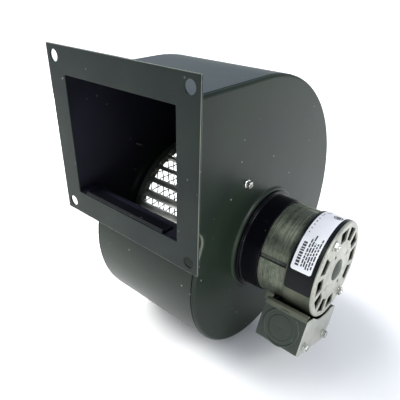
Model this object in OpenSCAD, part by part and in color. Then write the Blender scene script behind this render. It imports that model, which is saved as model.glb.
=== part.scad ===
// Combustion fan: a forward-curved centrifugal blower with a flanged outlet,
// a scroll housing of painted sheet, a screened side inlet and a shaded-pole
// motor with a conduit box.
// Origin: centre of the outlet flange's front face. +X points to the motor,
// +Y runs back into the housing and +Z is up. Sizes are in millimetres.

/* [Outlet flange] */
// Width of the outlet flange
flange_w = 152.4; // [148:0.2:160]
// Height of the outlet flange
flange_h = 140.4; // [136:0.2:150]
// Thickness of the flange plate
flange_t = 1.6; // [1.2:0.1:2.5]
// Width of the outlet opening
outlet_w = 113; // [104:0.5:115]
// Height of the outlet opening
outlet_h = 98; // [92:0.5:98.5]
// Spacing of the bolt holes across the flange
bolt_dx = 135.2; // [133:0.2:140]
// Spacing of the bolt holes up the flange
bolt_dz = 123.4; // [121:0.2:128]
// Diameter of the flange bolt holes
bolt_d = 9; // [6:0.5:10]

/* [Housing] */
// Width over the two side plates
housing_w = 121; // [119:0.5:123]
// Thickness of the housing sheet
sheet_t = 1.2; // [1:0.1:1.4]
// Height of the flat top above the outlet centre
top_z = 51.5; // [51:0.1:53]
// Depth of the throat floor below the outlet centre
throat_z = 50.5; // [50:0.1:51.5]
// Distance from the flange face to the end of the flat top
flat_top = 99.5; // [98:0.5:101]
// Radius of the cutoff nose
nose_r = 10.5; // [9:0.5:12]
// Rounding where a side plate turns over its edge
edge_r = 3; // [2:0.5:3.5]
// Diameter of the air inlet in the side plate
inlet_d = 132.4; // [132.2:0.1:133]
// Pitch of the wires of the inlet screen
screen_pitch = 8.47; // [8:0.01:9.5]
// Diameter of the screen wire
screen_wire = 1.2; // [0.9:0.1:1.4]

/* [Wheel] */
// Distance of the shaft behind the flange face
axis_y = 115; // [114:0.5:116]
// Height of the shaft, below the outlet centre
axis_z = -101; // [-102:0.5:-100]
// Outer radius of the wheel
wheel_r = 73; // [72:0.5:74]
// Radial depth of the blades
blade_depth = 11; // [10:0.5:12]
// Number of blades
blade_count = 32; // [28:1:34]
// Thickness of a blade
blade_t = 0.7; // [0.5:0.1:0.8]
// Position of the wheel's inlet edge along the shaft
wheel_x0 = -40.4; // [-41:0.2:-39]
// Position of the wheel's back plate along the shaft
wheel_x1 = 33; // [30:1:36]

/* [Motor] */
// Turn of the motor about its shaft, which swings the box forwards
motor_tilt = -22; // [-24:1:-20]
// Radius of the shaft
shaft_r = 3.97; // [3.9:0.01:3.98]
// Radius of the stator stack
stator_r = 42.5; // [42.2:0.1:42.5]
// Start of the stator stack along the shaft
stack_x0 = 82.4; // [82.4:0.1:82.6]
// End of the stator stack along the shaft
stack_x1 = 112.4; // [110:0.2:113]
// Outer radius of the rear bell
bell_r = 44; // [44:0.1:44.2]
// Outer face of the rear bell
bell_x1 = 134.4; // [134:0.1:135]
// Width of the conduit box across the motor
box_w = 65; // [60:1:66]
// Height of the conduit box
box_h = 33; // [31:1:35]
// Diameter of the conduit knockout
knockout_d = 22.2; // [21:0.1:23]

/* [Hidden] */

$fn = 96;
eps = 0.01;
fit = 0.1;

// Scroll: four arcs, largest first, with the directions where they meet
scroll_r = [143, 136, 124, 102];
scroll_a = [90, 45, 0, -90, -200];
front_rise = scroll_a[4] + 270;
side_x = housing_w / 2;
seam_x = side_x - edge_r - 0.2;
lip_depth = 8;
// Overlap of neighbouring sectors, inside the outline
lap_a = 6;
// The nose's arc cuts this far into the straight sheets beside it
nose_lap = 0.002;

// Side plate details
boss_r = 50.3;
boss_h = 2;
motor_hole_r = 21;
mount_pitch_r = 36;
mount_angles = [45, 165, 285];
// Screw places in the two side plates, motor side first
side_screw_at = [[79.7, -31.5], [69.8, -25.4]];
side_screw_r = 2;

// Inlet
throat_r = 60;
throat_bend = 6;
ring_flange_r = 75.5;
ring_t = 1;
screen_r = 69;
screen_room = 0.7; // round the ends of the wires
screw_pitch_r = 72.5;
screw_angles = [45, 135, 225, 315];

// Wheel
hub_r = 11;
hub_x0 = 11;
hub_flange_r = 19;
plate_t = 1.2;
rivet_pitch_r = 15;

// Motor
front_bell_x = side_x + boss_h + 0.05;
wall_t = 1.6;
rotor_r = 22;
bore_r = 22.35;
bearing_r = 7;
bearing_gap = 0.03;
bolt_pitch_r = 37.5;
bolt_angles = [139, 319];
bolt_r = 1.95;
pole_angles = [0, 90, 180, 270];
neck_w = 15;
shoe_r = 26.5;
yoke_r = 34;
coil_t = 7;
end_turn = 8;
skirt_x = 107.6;
bell_round = 2;
vent_count = 12;
vent_a0 = 19;
// Turn of the stack's weld grooves past the poles
groove_turn = 4;

// Conduit box, in the motor's own frame, below the motor
box_x0 = 95.3;
box_x1 = 134.6;
box_top = -40.5;
box_t = 1.2;
box_lip = 5;
cover_t = 1;

function unit(a) = [cos(a), sin(a)];
function arc_centre(i) = i == 0
    ? [flat_top, top_z - scroll_r[0]]
    : arc_centre(i - 1) + (scroll_r[i - 1] - scroll_r[i]) * unit(scroll_a[i]);

// Turns a flat outline in Y and Z into a solid that runs along +X from x
module along_x(x = 0) {
    translate([x, 0, 0]) rotate([90, 0, 90]) children();
}

// The same, centred on the shaft
module on_shaft(x = 0) {
    translate([x, axis_y, axis_z]) rotate([90, 0, 90]) children();
}

// The motor's own frame: shaft along X, conduit box towards -Z
module motor_frame() {
    translate([0, axis_y, axis_z]) rotate([motor_tilt, 0, 0]) children();
}

// Round motor pieces: axis along X, angles from the motor's own Y
module on_motor(x = 0) {
    motor_frame() translate([x, 0, 0]) rotate([90, 0, 90]) children();
}

module ring(r_out, r_in, h) {
    difference() {
        cylinder(r = r_out, h = h);
        translate([0, 0, -1]) cylinder(r = r_in, h = h + 2);
    }
}

module at_angle(a, r) {
    rotate([0, 0, a]) translate([r, 0, 0]) children();
}

// ---- Housing ----

module sector(centre, r, a0, a1) {
    translate(centre) intersection() {
        circle(r);
        polygon([[0, 0], 2 * r * unit(a0), 2 * r * unit((a0 + a1) / 2), 2 * r * unit(a1)]);
    }
}

// Side view of the housing, drawn in by inset, from start_y backwards
module scroll_outline(inset = 0, start_y = flange_t) {
    nose = nose_centre();
    round_r = nose_r + inset;
    difference() {
        union() {
            for (i = [0:3]) sector(arc_centre(i), scroll_r[i] - inset, scroll_a[i] + lap_a,
                i == 3 ? scroll_a[4] - lap_a : scroll_a[i + 1]);
            polygon([[start_y, top_z - inset], [flat_top, top_z - inset], arc_centre(0),
                arc_centre(1), arc_centre(2), arc_centre(3),
                arc_centre(3) + (scroll_r[3] - inset) * unit(scroll_a[4]),
                nose + round_r * [sin(front_rise), -cos(front_rise)], nose,
                nose + [0, round_r], [start_y, inset - throat_z]]);
        }
        translate(nose) circle(round_r + nose_lap);
    }
}

module outlet_flange() {
    color([0.13, 0.15, 0.14]) difference() {
        translate([-flange_w / 2, 0, -flange_h / 2]) cube([flange_w, flange_t, flange_h]);
        translate([-outlet_w / 2, -1, -outlet_h / 2]) cube([outlet_w, flange_t + 2, outlet_h]);
        for (sx = [-1, 1], sz = [-1, 1])
            translate([sx * bolt_dx / 2, -1, sz * bolt_dz / 2])
                rotate([-90, 0, 0]) cylinder(d = bolt_d, h = flange_t + 2);
    }
}

// Centre of the cutoff nose
function nose_centre() = let (z = -throat_z - nose_r, from = arc_centre(3) + scroll_r[3] * unit(scroll_a[4]))
    [from.x + (z - from.y) / tan(front_rise) - nose_r / sin(front_rise), z];

// Small bar inside the sheet, across a joint of the wrap
module joint_bar(place, a) {
    translate(place) rotate(a) square([2.4, sheet_t / 3], center = true);
}

module scroll_wrap() {
    mid = sheet_t / 2;
    color([0.2, 0.22, 0.22]) along_x(-seam_x) {
        difference() {
            linear_extrude(2 * seam_x) scroll_outline();
            translate([0, 0, -1]) linear_extrude(2 * seam_x + 2) scroll_outline(sheet_t, -5);
        }
        translate([0, 0, 1]) linear_extrude(2 * seam_x - 2) {
            joint_bar([flat_top, top_z - mid], 0);
            joint_bar(arc_centre(3) + (scroll_r[3] - mid) * unit(scroll_a[4]), front_rise);
        }
    }
}

// Drawn side plate: outer face at z = 0, open towards -z, its rounded edge in three steps
module side_pan() {
    insets = edge_r * [0.5, 0.2, 0.05];
    step = edge_r / 3;
    spigot = sheet_t + fit;
    hollow = spigot + sheet_t;
    difference() {
        union() {
            for (i = [0:2]) translate([0, 0, -(i + 1) * step])
                linear_extrude(step) scroll_outline(insets[i]);
            translate([0, 0, -edge_r - lip_depth])
                linear_extrude(lip_depth + step) scroll_outline(spigot);
        }
        translate([0, 0, -edge_r - lip_depth - 1])
            linear_extrude(edge_r + lip_depth + 1 - sheet_t) scroll_outline(hollow, -5);
    }
}

module motor_side_plate() {
    color([0.15, 0.17, 0.16]) difference() {
        union() {
            along_x(side_x) side_pan();
            on_shaft(side_x - sheet_t) cylinder(r = boss_r, h = sheet_t + boss_h);
        }
        on_shaft(side_x - sheet_t - 1) cylinder(r = boss_r - sheet_t, h = boss_h + 1);
        on_shaft(side_x - 5) cylinder(r = motor_hole_r, h = 10);
        for (a = mount_angles)
            on_motor(side_x - 5) at_angle(a, mount_pitch_r) cylinder(r = 2.2, h = 10);
        along_x(side_x - 5) translate(side_screw_at[0]) cylinder(r = side_screw_r, h = 10);
    }
}

module inlet_side_plate() {
    color([0.15, 0.17, 0.16]) difference() {
        mirror([1, 0, 0]) along_x(side_x) side_pan();
        on_shaft(-side_x - 5) cylinder(d = inlet_d, h = 10);
        for (a = screw_angles)
            on_shaft(-side_x - 5) at_angle(a, screw_pitch_r) cylinder(r = 1.6, h = 10);
        along_x(-side_x - 5) translate(side_screw_at[1]) cylinder(r = side_screw_r, h = 10);
    }
}

// Stiffener on the throat floor, with a rolled front edge in the opening
module cutoff_lip() {
    x0 = -46.8;
    length = 88.8;
    roll_r = 1.6;
    plate = 1;
    floor_z = 0.02 - outlet_h / 2;
    color([0.2, 0.22, 0.21]) {
        translate([x0, roll_r, floor_z]) cube([length, 10, plate]);
        difference() {
            translate([x0, roll_r, floor_z + roll_r]) rotate([0, 90, 0])
                cylinder(r = roll_r, h = length);
            translate([x0 - 1, roll_r + eps, floor_z + plate])
                cube([length + 2, 2 * roll_r, 2 * roll_r]);
        }
    }
}

module side_screws() {
    head_r = 3.9;
    color([0.75, 0.75, 0.72]) for (i = [0, 1]) mirror([i, 0, 0])
        along_x(side_x) translate(side_screw_at[i]) {
            cylinder(r = head_r, h = 0.9);
            cylinder(r = 3.1, h = 4, $fn = 6);
            translate([0, 0, -9]) cylinder(r = side_screw_r - 0.05, h = 9.5);
        }
}

// ---- Inlet ----

// Spun bellmouth: its flange lies on the side plate and its throat points into the wheel
module inlet_ring() {
    bend = [throat_r + throat_bend, throat_bend - ring_t];
    inner_r = throat_bend - ring_t;
    throat_end = side_x + wheel_x0 - 4;
    color([0.25, 0.26, 0.26]) on_shaft(-side_x) difference() {
        rotate_extrude() polygon(concat(
            [for (a = [270:-10:180]) bend + throat_bend * unit(a)],
            [[throat_r, throat_end], [throat_r + ring_t, throat_end]],
            [for (a = [180:10:270]) bend + inner_r * unit(a)],
            [[ring_flange_r, 0], [ring_flange_r, -ring_t]]));
        for (a = screw_angles) at_angle(a, screw_pitch_r)
            translate([0, 0, -2 * ring_t]) cylinder(r = 1.6, h = 4 * ring_t);
    }
}

module inlet_screen() {
    wires = floor(screen_r / screen_pitch);
    layer_x = -side_x - ring_t - 0.03 - screen_wire / 2;
    gap = screen_wire + 0.01;
    color([0.3, 0.3, 0.3]) for (i = [-wires:wires]) {
        half = sqrt(screen_r * screen_r - pow(i * screen_pitch, 2));
        translate([layer_x, axis_y - half, axis_z + i * screen_pitch]) rotate([-90, 0, 0])
            cylinder(d = screen_wire, h = 2 * half, $fn = 16);
        translate([layer_x - gap, axis_y + i * screen_pitch, axis_z - half])
            cylinder(d = screen_wire, h = 2 * half, $fn = 16);
    }
}

module screen_ring() {
    ring_x = -side_x - ring_t - 2 * screen_wire - 0.1;
    color([0.15, 0.17, 0.16]) on_shaft(ring_x - ring_t) difference() {
        union() {
            ring(ring_flange_r, screen_r - 5, ring_t);
            ring(ring_flange_r, screen_r + screen_room, ring_t + 2 * screen_wire + 0.05);
        }
        for (a = screw_angles) at_angle(a, screw_pitch_r)
            translate([0, 0, -1]) cylinder(r = 1.6, h = 6);
    }
}

module screen_screws() {
    head_x = -side_x - 2 * ring_t - 2 * screen_wire - 0.1;
    color([0.75, 0.75, 0.72]) for (a = screw_angles) on_shaft(head_x) at_angle(a, screw_pitch_r) {
        translate([0, 0, -1.9]) difference() {
            cylinder(r = 2.9, h = 1.9);
            translate([-0.4, -3, -eps]) cube([0.8, 6, 0.8]);
        }
        translate([0, 0, -0.5]) cylinder(r = 1.55, h = 10);
    }
}

// ---- Motor ----

module motor_mount_screws() {
    color([0.6, 0.6, 0.58]) for (a = mount_angles)
        on_motor(side_x + boss_h - sheet_t) at_angle(a, mount_pitch_r) {
            translate([0, 0, -2.8]) cylinder(r = 4, h = 2.75, $fn = 6);
            translate([0, 0, -1]) cylinder(r = 2, h = 5);
        }
}

// Pocket and bore for a sleeve bearing, along z from z0 to z1
module bearing_bore(z0, z1) {
    translate([0, 0, z0]) cylinder(r = bearing_r + 0.02, h = z1 - z0);
}

module motor_front_bell() {
    depth = stack_x0 - 0.1 - front_bell_x;
    base_r = 47.5;
    cup_r = 43.8;
    color([0.05, 0.05, 0.06]) on_motor(front_bell_x) difference() {
        union() {
            rotate_extrude() polygon([[0, 0], [base_r, 0], [base_r, 2.5], [cup_r + 1, 5.5],
                [cup_r, depth], [cup_r - wall_t, depth], [cup_r + 1 - wall_t, 6],
                [cup_r - 1, 2.2], [0, 2.2]]);
            translate([0, 0, -3]) cylinder(r = 12, h = 15);
        }
        bearing_bore(-4, 13);
        for (a = mount_angles) at_angle(a, mount_pitch_r) translate([0, 0, -1]) cylinder(r = 2.1, h = 5);
        for (a = bolt_angles) at_angle(a, bolt_pitch_r) translate([0, 0, -1]) cylinder(r = 2.1, h = 5);
    }
}

module pole_shoes() {
    difference() {
        cylinder(r = shoe_r, h = stack_x1 - stack_x0);
        for (a = pole_angles) rotate([0, 0, a + 45]) translate([0, -1.5, -1])
            cube([shoe_r + 5, 3, stack_x1 - stack_x0 + 2]);
    }
}

// Laminated stack: yoke, four poles with wide shoes, and four welding grooves
module stator_core() {
    length = stack_x1 - stack_x0;
    color([0.36, 0.39, 0.35]) on_motor(stack_x0) difference() {
        union() {
            ring(stator_r, yoke_r, length);
            for (a = pole_angles) rotate([0, 0, a]) translate([bore_r - 1, -neck_w / 2, 0])
                cube([yoke_r - bore_r + 3, neck_w, length]);
            pole_shoes();
        }
        translate([0, 0, -1]) cylinder(r = bore_r, h = length + 2);
        for (a = pole_angles) at_angle(a + groove_turn, stator_r) translate([-1.2, -0.9, -1])
            cube([3, 1.8, length + 2]);
        for (a = bolt_angles) at_angle(a, bolt_pitch_r) translate([0, 0, -1])
            cylinder(r = 2.1, h = length + 2);
    }
}

// A frame around a pole neck: radial span r0 to r1, thickness t
module pole_frame(r0, r1, inner_gap, t, overhang) {
    length = stack_x1 - stack_x0;
    w = neck_w / 2 + inner_gap;
    translate([r0, 0, 0]) difference() {
        translate([0, -w - t, -overhang - t]) cube([r1 - r0, 2 * (w + t), length + 2 * (overhang + t)]);
        translate([-1, -w, -overhang]) cube([r1 - r0 + 2, 2 * w, length + 2 * overhang]);
    }
}

module slot_liners() {
    color([0.85, 0.82, 0.7]) on_motor(stack_x0) for (a = pole_angles) rotate([0, 0, a])
        pole_frame(shoe_r + 0.1, yoke_r - 1.2, 0.05, 0.4, 0.3);
}

module stator_coils() {
    color([0.72, 0.38, 0.16]) on_motor(stack_x0) for (a = pole_angles) rotate([0, 0, a])
        intersection() {
            pole_frame(shoe_r + 0.4, yoke_r - 1.4, 0.55, coil_t, end_turn - coil_t);
            translate([0, 0, -20]) cylinder(r = yoke_r - 0.3, h = stack_x1 - stack_x0 + 40);
        }
}

// Copper ring round one tip of each pole shoe, proud at both ends of the stack
module shading_rings() {
    length = stack_x1 - stack_x0;
    color([0.8, 0.45, 0.2]) on_motor(stack_x0) for (a = pole_angles, end = [-1.6, length + 0.1])
        rotate([0, 0, a + 24]) translate([bore_r + 1, -4, end]) cube([2.4, 8, 1.5]);
}

// Lacing cord that holds the end turns of each coil together
module coil_ties() {
    length = stack_x1 - stack_x0;
    color([0.9, 0.88, 0.8]) on_motor(stack_x0) for (a = pole_angles, end = [-end_turn - 1, length + end_turn])
        rotate([0, 0, a]) translate([shoe_r + 0.6, -1, end]) cube([4.4, 2, 1]);
}

module rear_bell() {
    face_z = bell_x1 - skirt_x;
    inner_r = stator_r + fit;
    color([0.72, 0.73, 0.68]) on_motor(skirt_x) difference() {
        union() {
            rotate_extrude() difference() {
                union() {
                    square([bell_r, face_z - bell_round]);
                    square([bell_r - bell_round, face_z]);
                    translate([bell_r - bell_round, face_z - bell_round]) circle(bell_round);
                }
                translate([-1, -1]) square([1 + inner_r, 1 + face_z - bell_round]);
                translate([-1, 0]) square([1 + bell_r - bell_round, face_z - wall_t]);
                translate([bell_r - bell_round, face_z - bell_round]) circle(bell_round - wall_t);
                translate([-20, -1]) square([20, face_z + 2]);
            }
            translate([0, 0, 10.6]) cylinder(r = 12, h = face_z - 10.6 - 0.1);
        }
        bearing_bore(10, face_z + 1);
        for (i = [0:vent_count - 1]) rotate([0, 0, vent_a0 + i * 360 / vent_count])
            if (i != 4 && i != 10) vent(face_z);
        for (a = bolt_angles) at_angle(a, bolt_pitch_r) translate([0, 0, face_z - 5]) cylinder(r = 2.1, h = 8);
        for (a = pole_angles) rotate([0, 0, vent_a0 + 30 + a]) translate([17, -1.1, face_z - 5])
            cube([5, 2.2, 8]);
        translate([0, -50, 13]) rotate([-90, 0, 0]) cylinder(r = 5.1, h = 20);
    }
}

// Trapezoid vent in the end of the rear bell
module vent(face_z) {
    translate([0, 0, face_z - 5]) linear_extrude(8)
        polygon([[27, -5.2], [38.4, -7.6], [38.4, 7.6], [27, 5.2]]);
}

module sleeve_bearing(x, length) {
    on_motor(x) ring(bearing_r, shaft_r + bearing_gap, length);
}

module front_bearing() {
    color([0.72, 0.52, 0.28]) sleeve_bearing(front_bell_x - 2.6, 14.4);
}

module rear_bearing() {
    color([0.72, 0.52, 0.28]) sleeve_bearing(118.4, 13);
}

// Oil-soaked felts on the inner ends of the bearing housings
module oil_felts() {
    color([0.55, 0.45, 0.3]) {
        on_motor(front_bell_x + 12.05) ring(10.4, shaft_r + 0.6, 1.6);
        on_motor(116.45) ring(10.4, shaft_r + 0.6, 1.6);
    }
}

// Thin steel covers that hold the felts
module felt_cover() {
    ring(11.4, 10.5, 1.6);
    translate([0, 0, 1.6]) ring(11.4, shaft_r + 1, 0.5);
}

module felt_covers() {
    color([0.7, 0.7, 0.68]) {
        on_motor(front_bell_x + 12.05) felt_cover();
        on_motor(118.05) mirror([0, 0, 1]) felt_cover();
    }
}

// Domed cap over the rear bearing
module rear_bearing_cap() {
    dome_h = 2.6;
    rim_r = 9.8;
    dome_r = (rim_r * rim_r + dome_h * dome_h) / (2 * dome_h);
    color([0.2, 0.24, 0.22]) on_motor(bell_x1 + 0.05) {
        difference() {
            intersection() {
                cylinder(r = rim_r, h = dome_h + 1);
                translate([0, 0, dome_h - dome_r]) sphere(dome_r);
            }
            translate([0, 0, -1]) cylinder(r = 6.2, h = 1.6);
        }
    }
}

module through_bolts() {
    x0 = front_bell_x + 2.3;
    color([0.7, 0.7, 0.68]) on_motor(x0) for (a = bolt_angles) at_angle(a, bolt_pitch_r) {
        cylinder(r = 3.5, h = 2.4, $fn = 6);
        cylinder(r = bolt_r, h = bell_x1 + 4 - x0);
    }
}

module through_bolt_nuts() {
    color([0.75, 0.75, 0.72]) on_motor(bell_x1 + 0.05) for (a = bolt_angles) at_angle(a, bolt_pitch_r)
        difference() {
            union() {
                cylinder(r = 4.4, h = 0.6);
                rotate([0, 0, 10]) cylinder(r = 4, h = 3, $fn = 6);
            }
            translate([0, 0, -1]) cylinder(r = bolt_r + 0.05, h = 6);
        }
}

// Gap between the rating label and the bell's outer face
label_gap = 5.6;

// Part of a thin band round the bell: angles a0 to a1, along x0 to x1
module band(r, t, a0, a1, x0, x1) {
    on_motor(x0) rotate([0, 0, a0]) rotate_extrude(angle = a1 - a0)
        translate([r, 0]) square([t, x1 - x0]);
}

module label_band() {
    color([0.04, 0.04, 0.05]) band(bell_r + 0.02, 0.12, 70, 206.5, skirt_x + 1.2, bell_x1 - bell_round);
}

module rating_label() {
    color([0.92, 0.92, 0.94]) band(bell_r + 0.15, 0.12, 76, 182.5, skirt_x + 3.2, bell_x1 - label_gap);
}

// ---- Conduit box ----

module box_block(x0, x1, in_y, z0, z1) {
    translate([x0, -box_w / 2 + in_y, z0]) cube([x1 - x0, box_w - 2 * in_y, z1 - z0]);
}

// Box open towards the cover and, between two top lips, towards the motor
module conduit_box() {
    floor_z = box_top - box_h;
    color([0.2, 0.23, 0.21]) motor_frame() difference() {
        box_block(box_x0, box_x1, 0, floor_z, box_top);
        box_block(box_x0 + box_t, box_x1 + 1, box_t, floor_z + box_t, box_top - box_t);
        box_block(box_x0 + 4, box_x1 + 1, box_lip, box_top - 2 * box_t, box_top + 1);
        rotate([90, 0, 90]) translate([0, 0, box_x0 - 1]) cylinder(r = bell_r + 1, h = 60);
        translate([knockout_x(), -box_w / 2 - 1, knockout_z()]) rotate([-90, 0, 0])
            cylinder(d = knockout_d, h = box_t + 2);
        for (s = [-1, 1]) translate([box_x0 - 1, s * 12, box_top - 12]) rotate([0, 90, 0])
            cylinder(r = 2.1, h = 6);
    }
    color([0.2, 0.23, 0.21]) motor_frame() {
        translate([knockout_x(), -box_w / 2 + eps, knockout_z()]) rotate([90, 0, 0]) ring(16.2, 15, 0.5);
        for (p = cover_screw_places) cover_ear(p);
    }
}

function knockout_x() = (box_x0 + box_x1) / 2;
function knockout_z() = box_top - box_h / 2;
cover_screw_places = [[-22, -66.4], [22, -66.4]];

// Ear inside the mouth of the box that takes a cover screw
module cover_ear(p) {
    difference() {
        translate([box_x1 - 4, p[0] - 4, box_top - box_h + box_t - eps])
            cube([4, 8, 9]);
        translate([box_x1 - 5, p[0], p[1]]) rotate([0, 90, 0]) cylinder(r = 1.5, h = 6);
    }
}

module box_cover() {
    color([0.75, 0.76, 0.71]) motor_frame() difference() {
        box_block(box_x1 + 0.05, box_x1 + 0.05 + cover_t, 0, box_top - box_h, box_top);
        rotate([90, 0, 90]) translate([0, 0, box_x1 - 1]) cylinder(r = bell_r + 1.2, h = 10);
        for (p = cover_screw_places) translate([box_x1 - 1, p[0], p[1]])
            rotate([0, 90, 0]) cylinder(r = 1.7, h = 6);
    }
}

module cover_screws() {
    color([0.8, 0.8, 0.78]) motor_frame() for (p = cover_screw_places)
        translate([box_x1 + 0.1 + cover_t, p[0], p[1]]) rotate([0, 90, 0]) {
            difference() {
                union() {
                    cylinder(r = 4.2, h = 0.9);
                    cylinder(r = 3.4, h = 3.6, $fn = 6);
                }
                translate([-4, -0.4, 2.6]) cube([8, 0.8, 2]);
            }
            translate([0, 0, -7]) cylinder(r = 1.45, h = 7.2);
        }
}

module knockout_plug() {
    color([0.22, 0.25, 0.23]) motor_frame()
        translate([knockout_x(), -box_w / 2 + box_t, knockout_z()]) rotate([90, 0, 0])
            cylinder(d = knockout_d - 0.1, h = box_t);
}

// Bracket between the stator's underside and the end wall of the box
module box_bracket() {
    x0 = box_x0 - 1.3;
    color([0.35, 0.37, 0.34]) motor_frame() difference() {
        union() {
            translate([x0, -17, box_top - 16]) cube([1.2, 34, 22]);
            translate([x0 - 7, -17, -stator_r - 3.4]) cube([8.2, 34, 9]);
        }
        rotate([90, 0, 90]) translate([0, 0, x0 - 20]) cylinder(r = stator_r + fit, h = 60);
        translate([x0 - 8, -18, -stator_r - 1.9 - 12]) cube([8, 36, 10.5]);
        for (s = [-1, 1]) translate([x0 - 1, s * 12, box_top - 12]) rotate([0, 90, 0])
            cylinder(r = 2.1, h = 4);
    }
}

module bracket_screws() {
    x0 = box_x0 - 1.35;
    color([0.75, 0.75, 0.72]) motor_frame() for (s = [-1, 1])
        translate([x0, s * 12, box_top - 12]) rotate([0, 90, 0]) {
            translate([0, 0, -2]) cylinder(r = 3.6, h = 2, $fn = 6);
            translate([0, 0, -1]) cylinder(r = 1.9, h = 6);
        }
}

// Rubber bush in the rear bell where the leads drop into the box
module lead_grommet() {
    color([0.06, 0.06, 0.06]) motor_frame() translate([skirt_x + 13, 0, -bell_r - 1.6])
        difference() {
            union() {
                cylinder(r = 5, h = 4.4);
                cylinder(r = 6.2, h = 1);
            }
            translate([0, 0, -1]) cylinder(r = 3.5, h = 8);
        }
}

// Leads in the motor's frame: offset along X, offset across it, and outward slant
lead_x = skirt_x + 13;
lead_places = [[-1.6, 0, 0], [0.9, -1.45, -14], [0.9, 1.45, 14]];
grommet_z = -bell_r + 0.6;
lead_drop = 15;

// Carries its children to a lead's line, with z = 0 in the grommet
module on_lead(p) {
    motor_frame() translate([lead_x + p[0], p[1], grommet_z]) rotate([p[2], 0, 0]) children();
}

module motor_leads() {
    color([0.1, 0.1, 0.1]) for (p = lead_places) on_lead(p)
        translate([0, 0, -lead_drop]) cylinder(r = 1.1, h = lead_drop + 3);
}

// Twist-on connectors on the ends of two leads
module wire_nuts() {
    body_h = 12;
    mouth = 2.5;
    color([0.8, 0.35, 0.1]) for (i = [1, 2]) on_lead(lead_places[i])
        translate([0, 0, mouth - lead_drop - body_h]) difference() {
            cylinder(r1 = 2.2, r2 = 3.4, h = body_h);
            translate([0, 0, body_h - mouth]) cylinder(r = 2.8, h = 2 * mouth);
        }
}

module ground_screw() {
    color([0.2, 0.5, 0.25]) motor_frame() translate([box_x0 + box_t + 0.05, 22, box_top - 24])
        rotate([0, 90, 0]) {
            cylinder(r = 4, h = 0.8);
            cylinder(r = 3.1, h = 3, $fn = 6);
        }
}

// ---- Rotor and wheel ----

module motor_shaft() {
    x0 = 4;
    x1 = 131;
    color([0.75, 0.75, 0.76]) on_shaft(x0) difference() {
        cylinder(r = shaft_r, h = x1 - x0);
        translate([shaft_r - 0.7, -5, -1]) cube([5, 10, 22]);
    }
}

module rotor_core() {
    color([0.4, 0.42, 0.4]) on_shaft(stack_x0) ring(rotor_r, shaft_r + eps, stack_x1 - stack_x0);
}

module rotor_end_rings() {
    color([0.75, 0.76, 0.78]) {
        on_shaft(stack_x0 - 2.55) ring(21, 11.8, 2.5);
        on_shaft(stack_x1 + 0.05) ring(21, 11.8, 2.5);
    }
}

module thrust_washers() {
    color([0.85, 0.8, 0.6]) {
        on_shaft(stack_x0 - 1.3) ring(6.4, shaft_r + eps, 1.2);
        on_shaft(stack_x1 + 0.1) ring(6.4, shaft_r + eps, 1.2);
    }
}

module wheel_hub() {
    screw_x = 17;
    color([0.7, 0.7, 0.68]) difference() {
        union() {
            on_shaft(hub_x0) cylinder(r = hub_r, h = wheel_x1 - 0.05 - hub_x0);
            on_shaft(wheel_x1 - 2.05) cylinder(r = hub_flange_r, h = 2);
        }
        on_shaft(hub_x0 - 1) cylinder(r = shaft_r + eps, h = 40);
        translate([screw_x, axis_y, axis_z]) rotate([0, 90, 0]) rotate([0, 0, 90])
            rotate([0, 90, 0]) cylinder(r = 2.5, h = 20);
        for (a = [0:90:270]) on_shaft(wheel_x1 - 5) at_angle(a + 45, rivet_pitch_r)
            cylinder(r = 1.6, h = 10);
    }
}

module hub_set_screw() {
    screw_x = 17;
    color([0.2, 0.2, 0.22]) translate([screw_x, axis_y, axis_z]) rotate([0, 90, 0])
        rotate([0, 0, 90]) rotate([0, 90, 0]) translate([0, 0, shaft_r - 0.68]) difference() {
            cylinder(r = 2.45, h = 8);
            translate([0, 0, 5.5]) cylinder(r = 1.4, h = 3, $fn = 6);
        }
}

module wheel_back_plate() {
    color([0.62, 0.63, 0.6]) on_shaft(wheel_x1) difference() {
        cylinder(r = wheel_r - 0.3, h = plate_t);
        translate([0, 0, -1]) cylinder(r = shaft_r + eps, h = 4);
        for (a = [0:90:270]) at_angle(a + 45, rivet_pitch_r) translate([0, 0, -1])
            cylinder(r = 1.6, h = 4);
    }
}

module hub_rivets() {
    color([0.75, 0.75, 0.74]) for (a = [0:90:270]) {
        on_shaft(wheel_x1 - 2.1) at_angle(a + 45, rivet_pitch_r) {
            translate([0, 0, -1]) cylinder(r = 2.8, h = 1);
            cylinder(r = 1.55, h = 2 + plate_t + 0.2);
            translate([0, 0, 2 + plate_t + 0.15]) cylinder(r = 2.8, h = 1);
        }
    }
}

// Forward-curved blade in end view: a slice of a thin ring
module blade_outline() {
    bend_r = 7.6;
    from = -117;
    to = -10;
    translate([wheel_r - 8.5, 6]) intersection() {
        difference() {
            circle(bend_r + blade_t / 2);
            circle(bend_r - blade_t / 2);
        }
        polygon([[0, 0], 20 * unit(from), 20 * unit((from + to) / 2), 20 * unit(to)]);
    }
}

module wheel_blades() {
    color([0.66, 0.67, 0.62]) on_shaft(wheel_x0 + 0.9) for (i = [0:blade_count - 1])
        rotate([0, 0, i * 360 / blade_count]) linear_extrude(wheel_x1 - wheel_x0 - 0.95) blade_outline();
}

// Rim that ties the blade tips together at the inlet
module wheel_inlet_ring() {
    rim_w = 6;
    color([0.62, 0.63, 0.6]) on_shaft(wheel_x0) {
        ring(wheel_r + 0.8, wheel_r - blade_depth, 0.8);
        ring(wheel_r + 0.8, wheel_r + 0.1, rim_w);
    }
}

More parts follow.
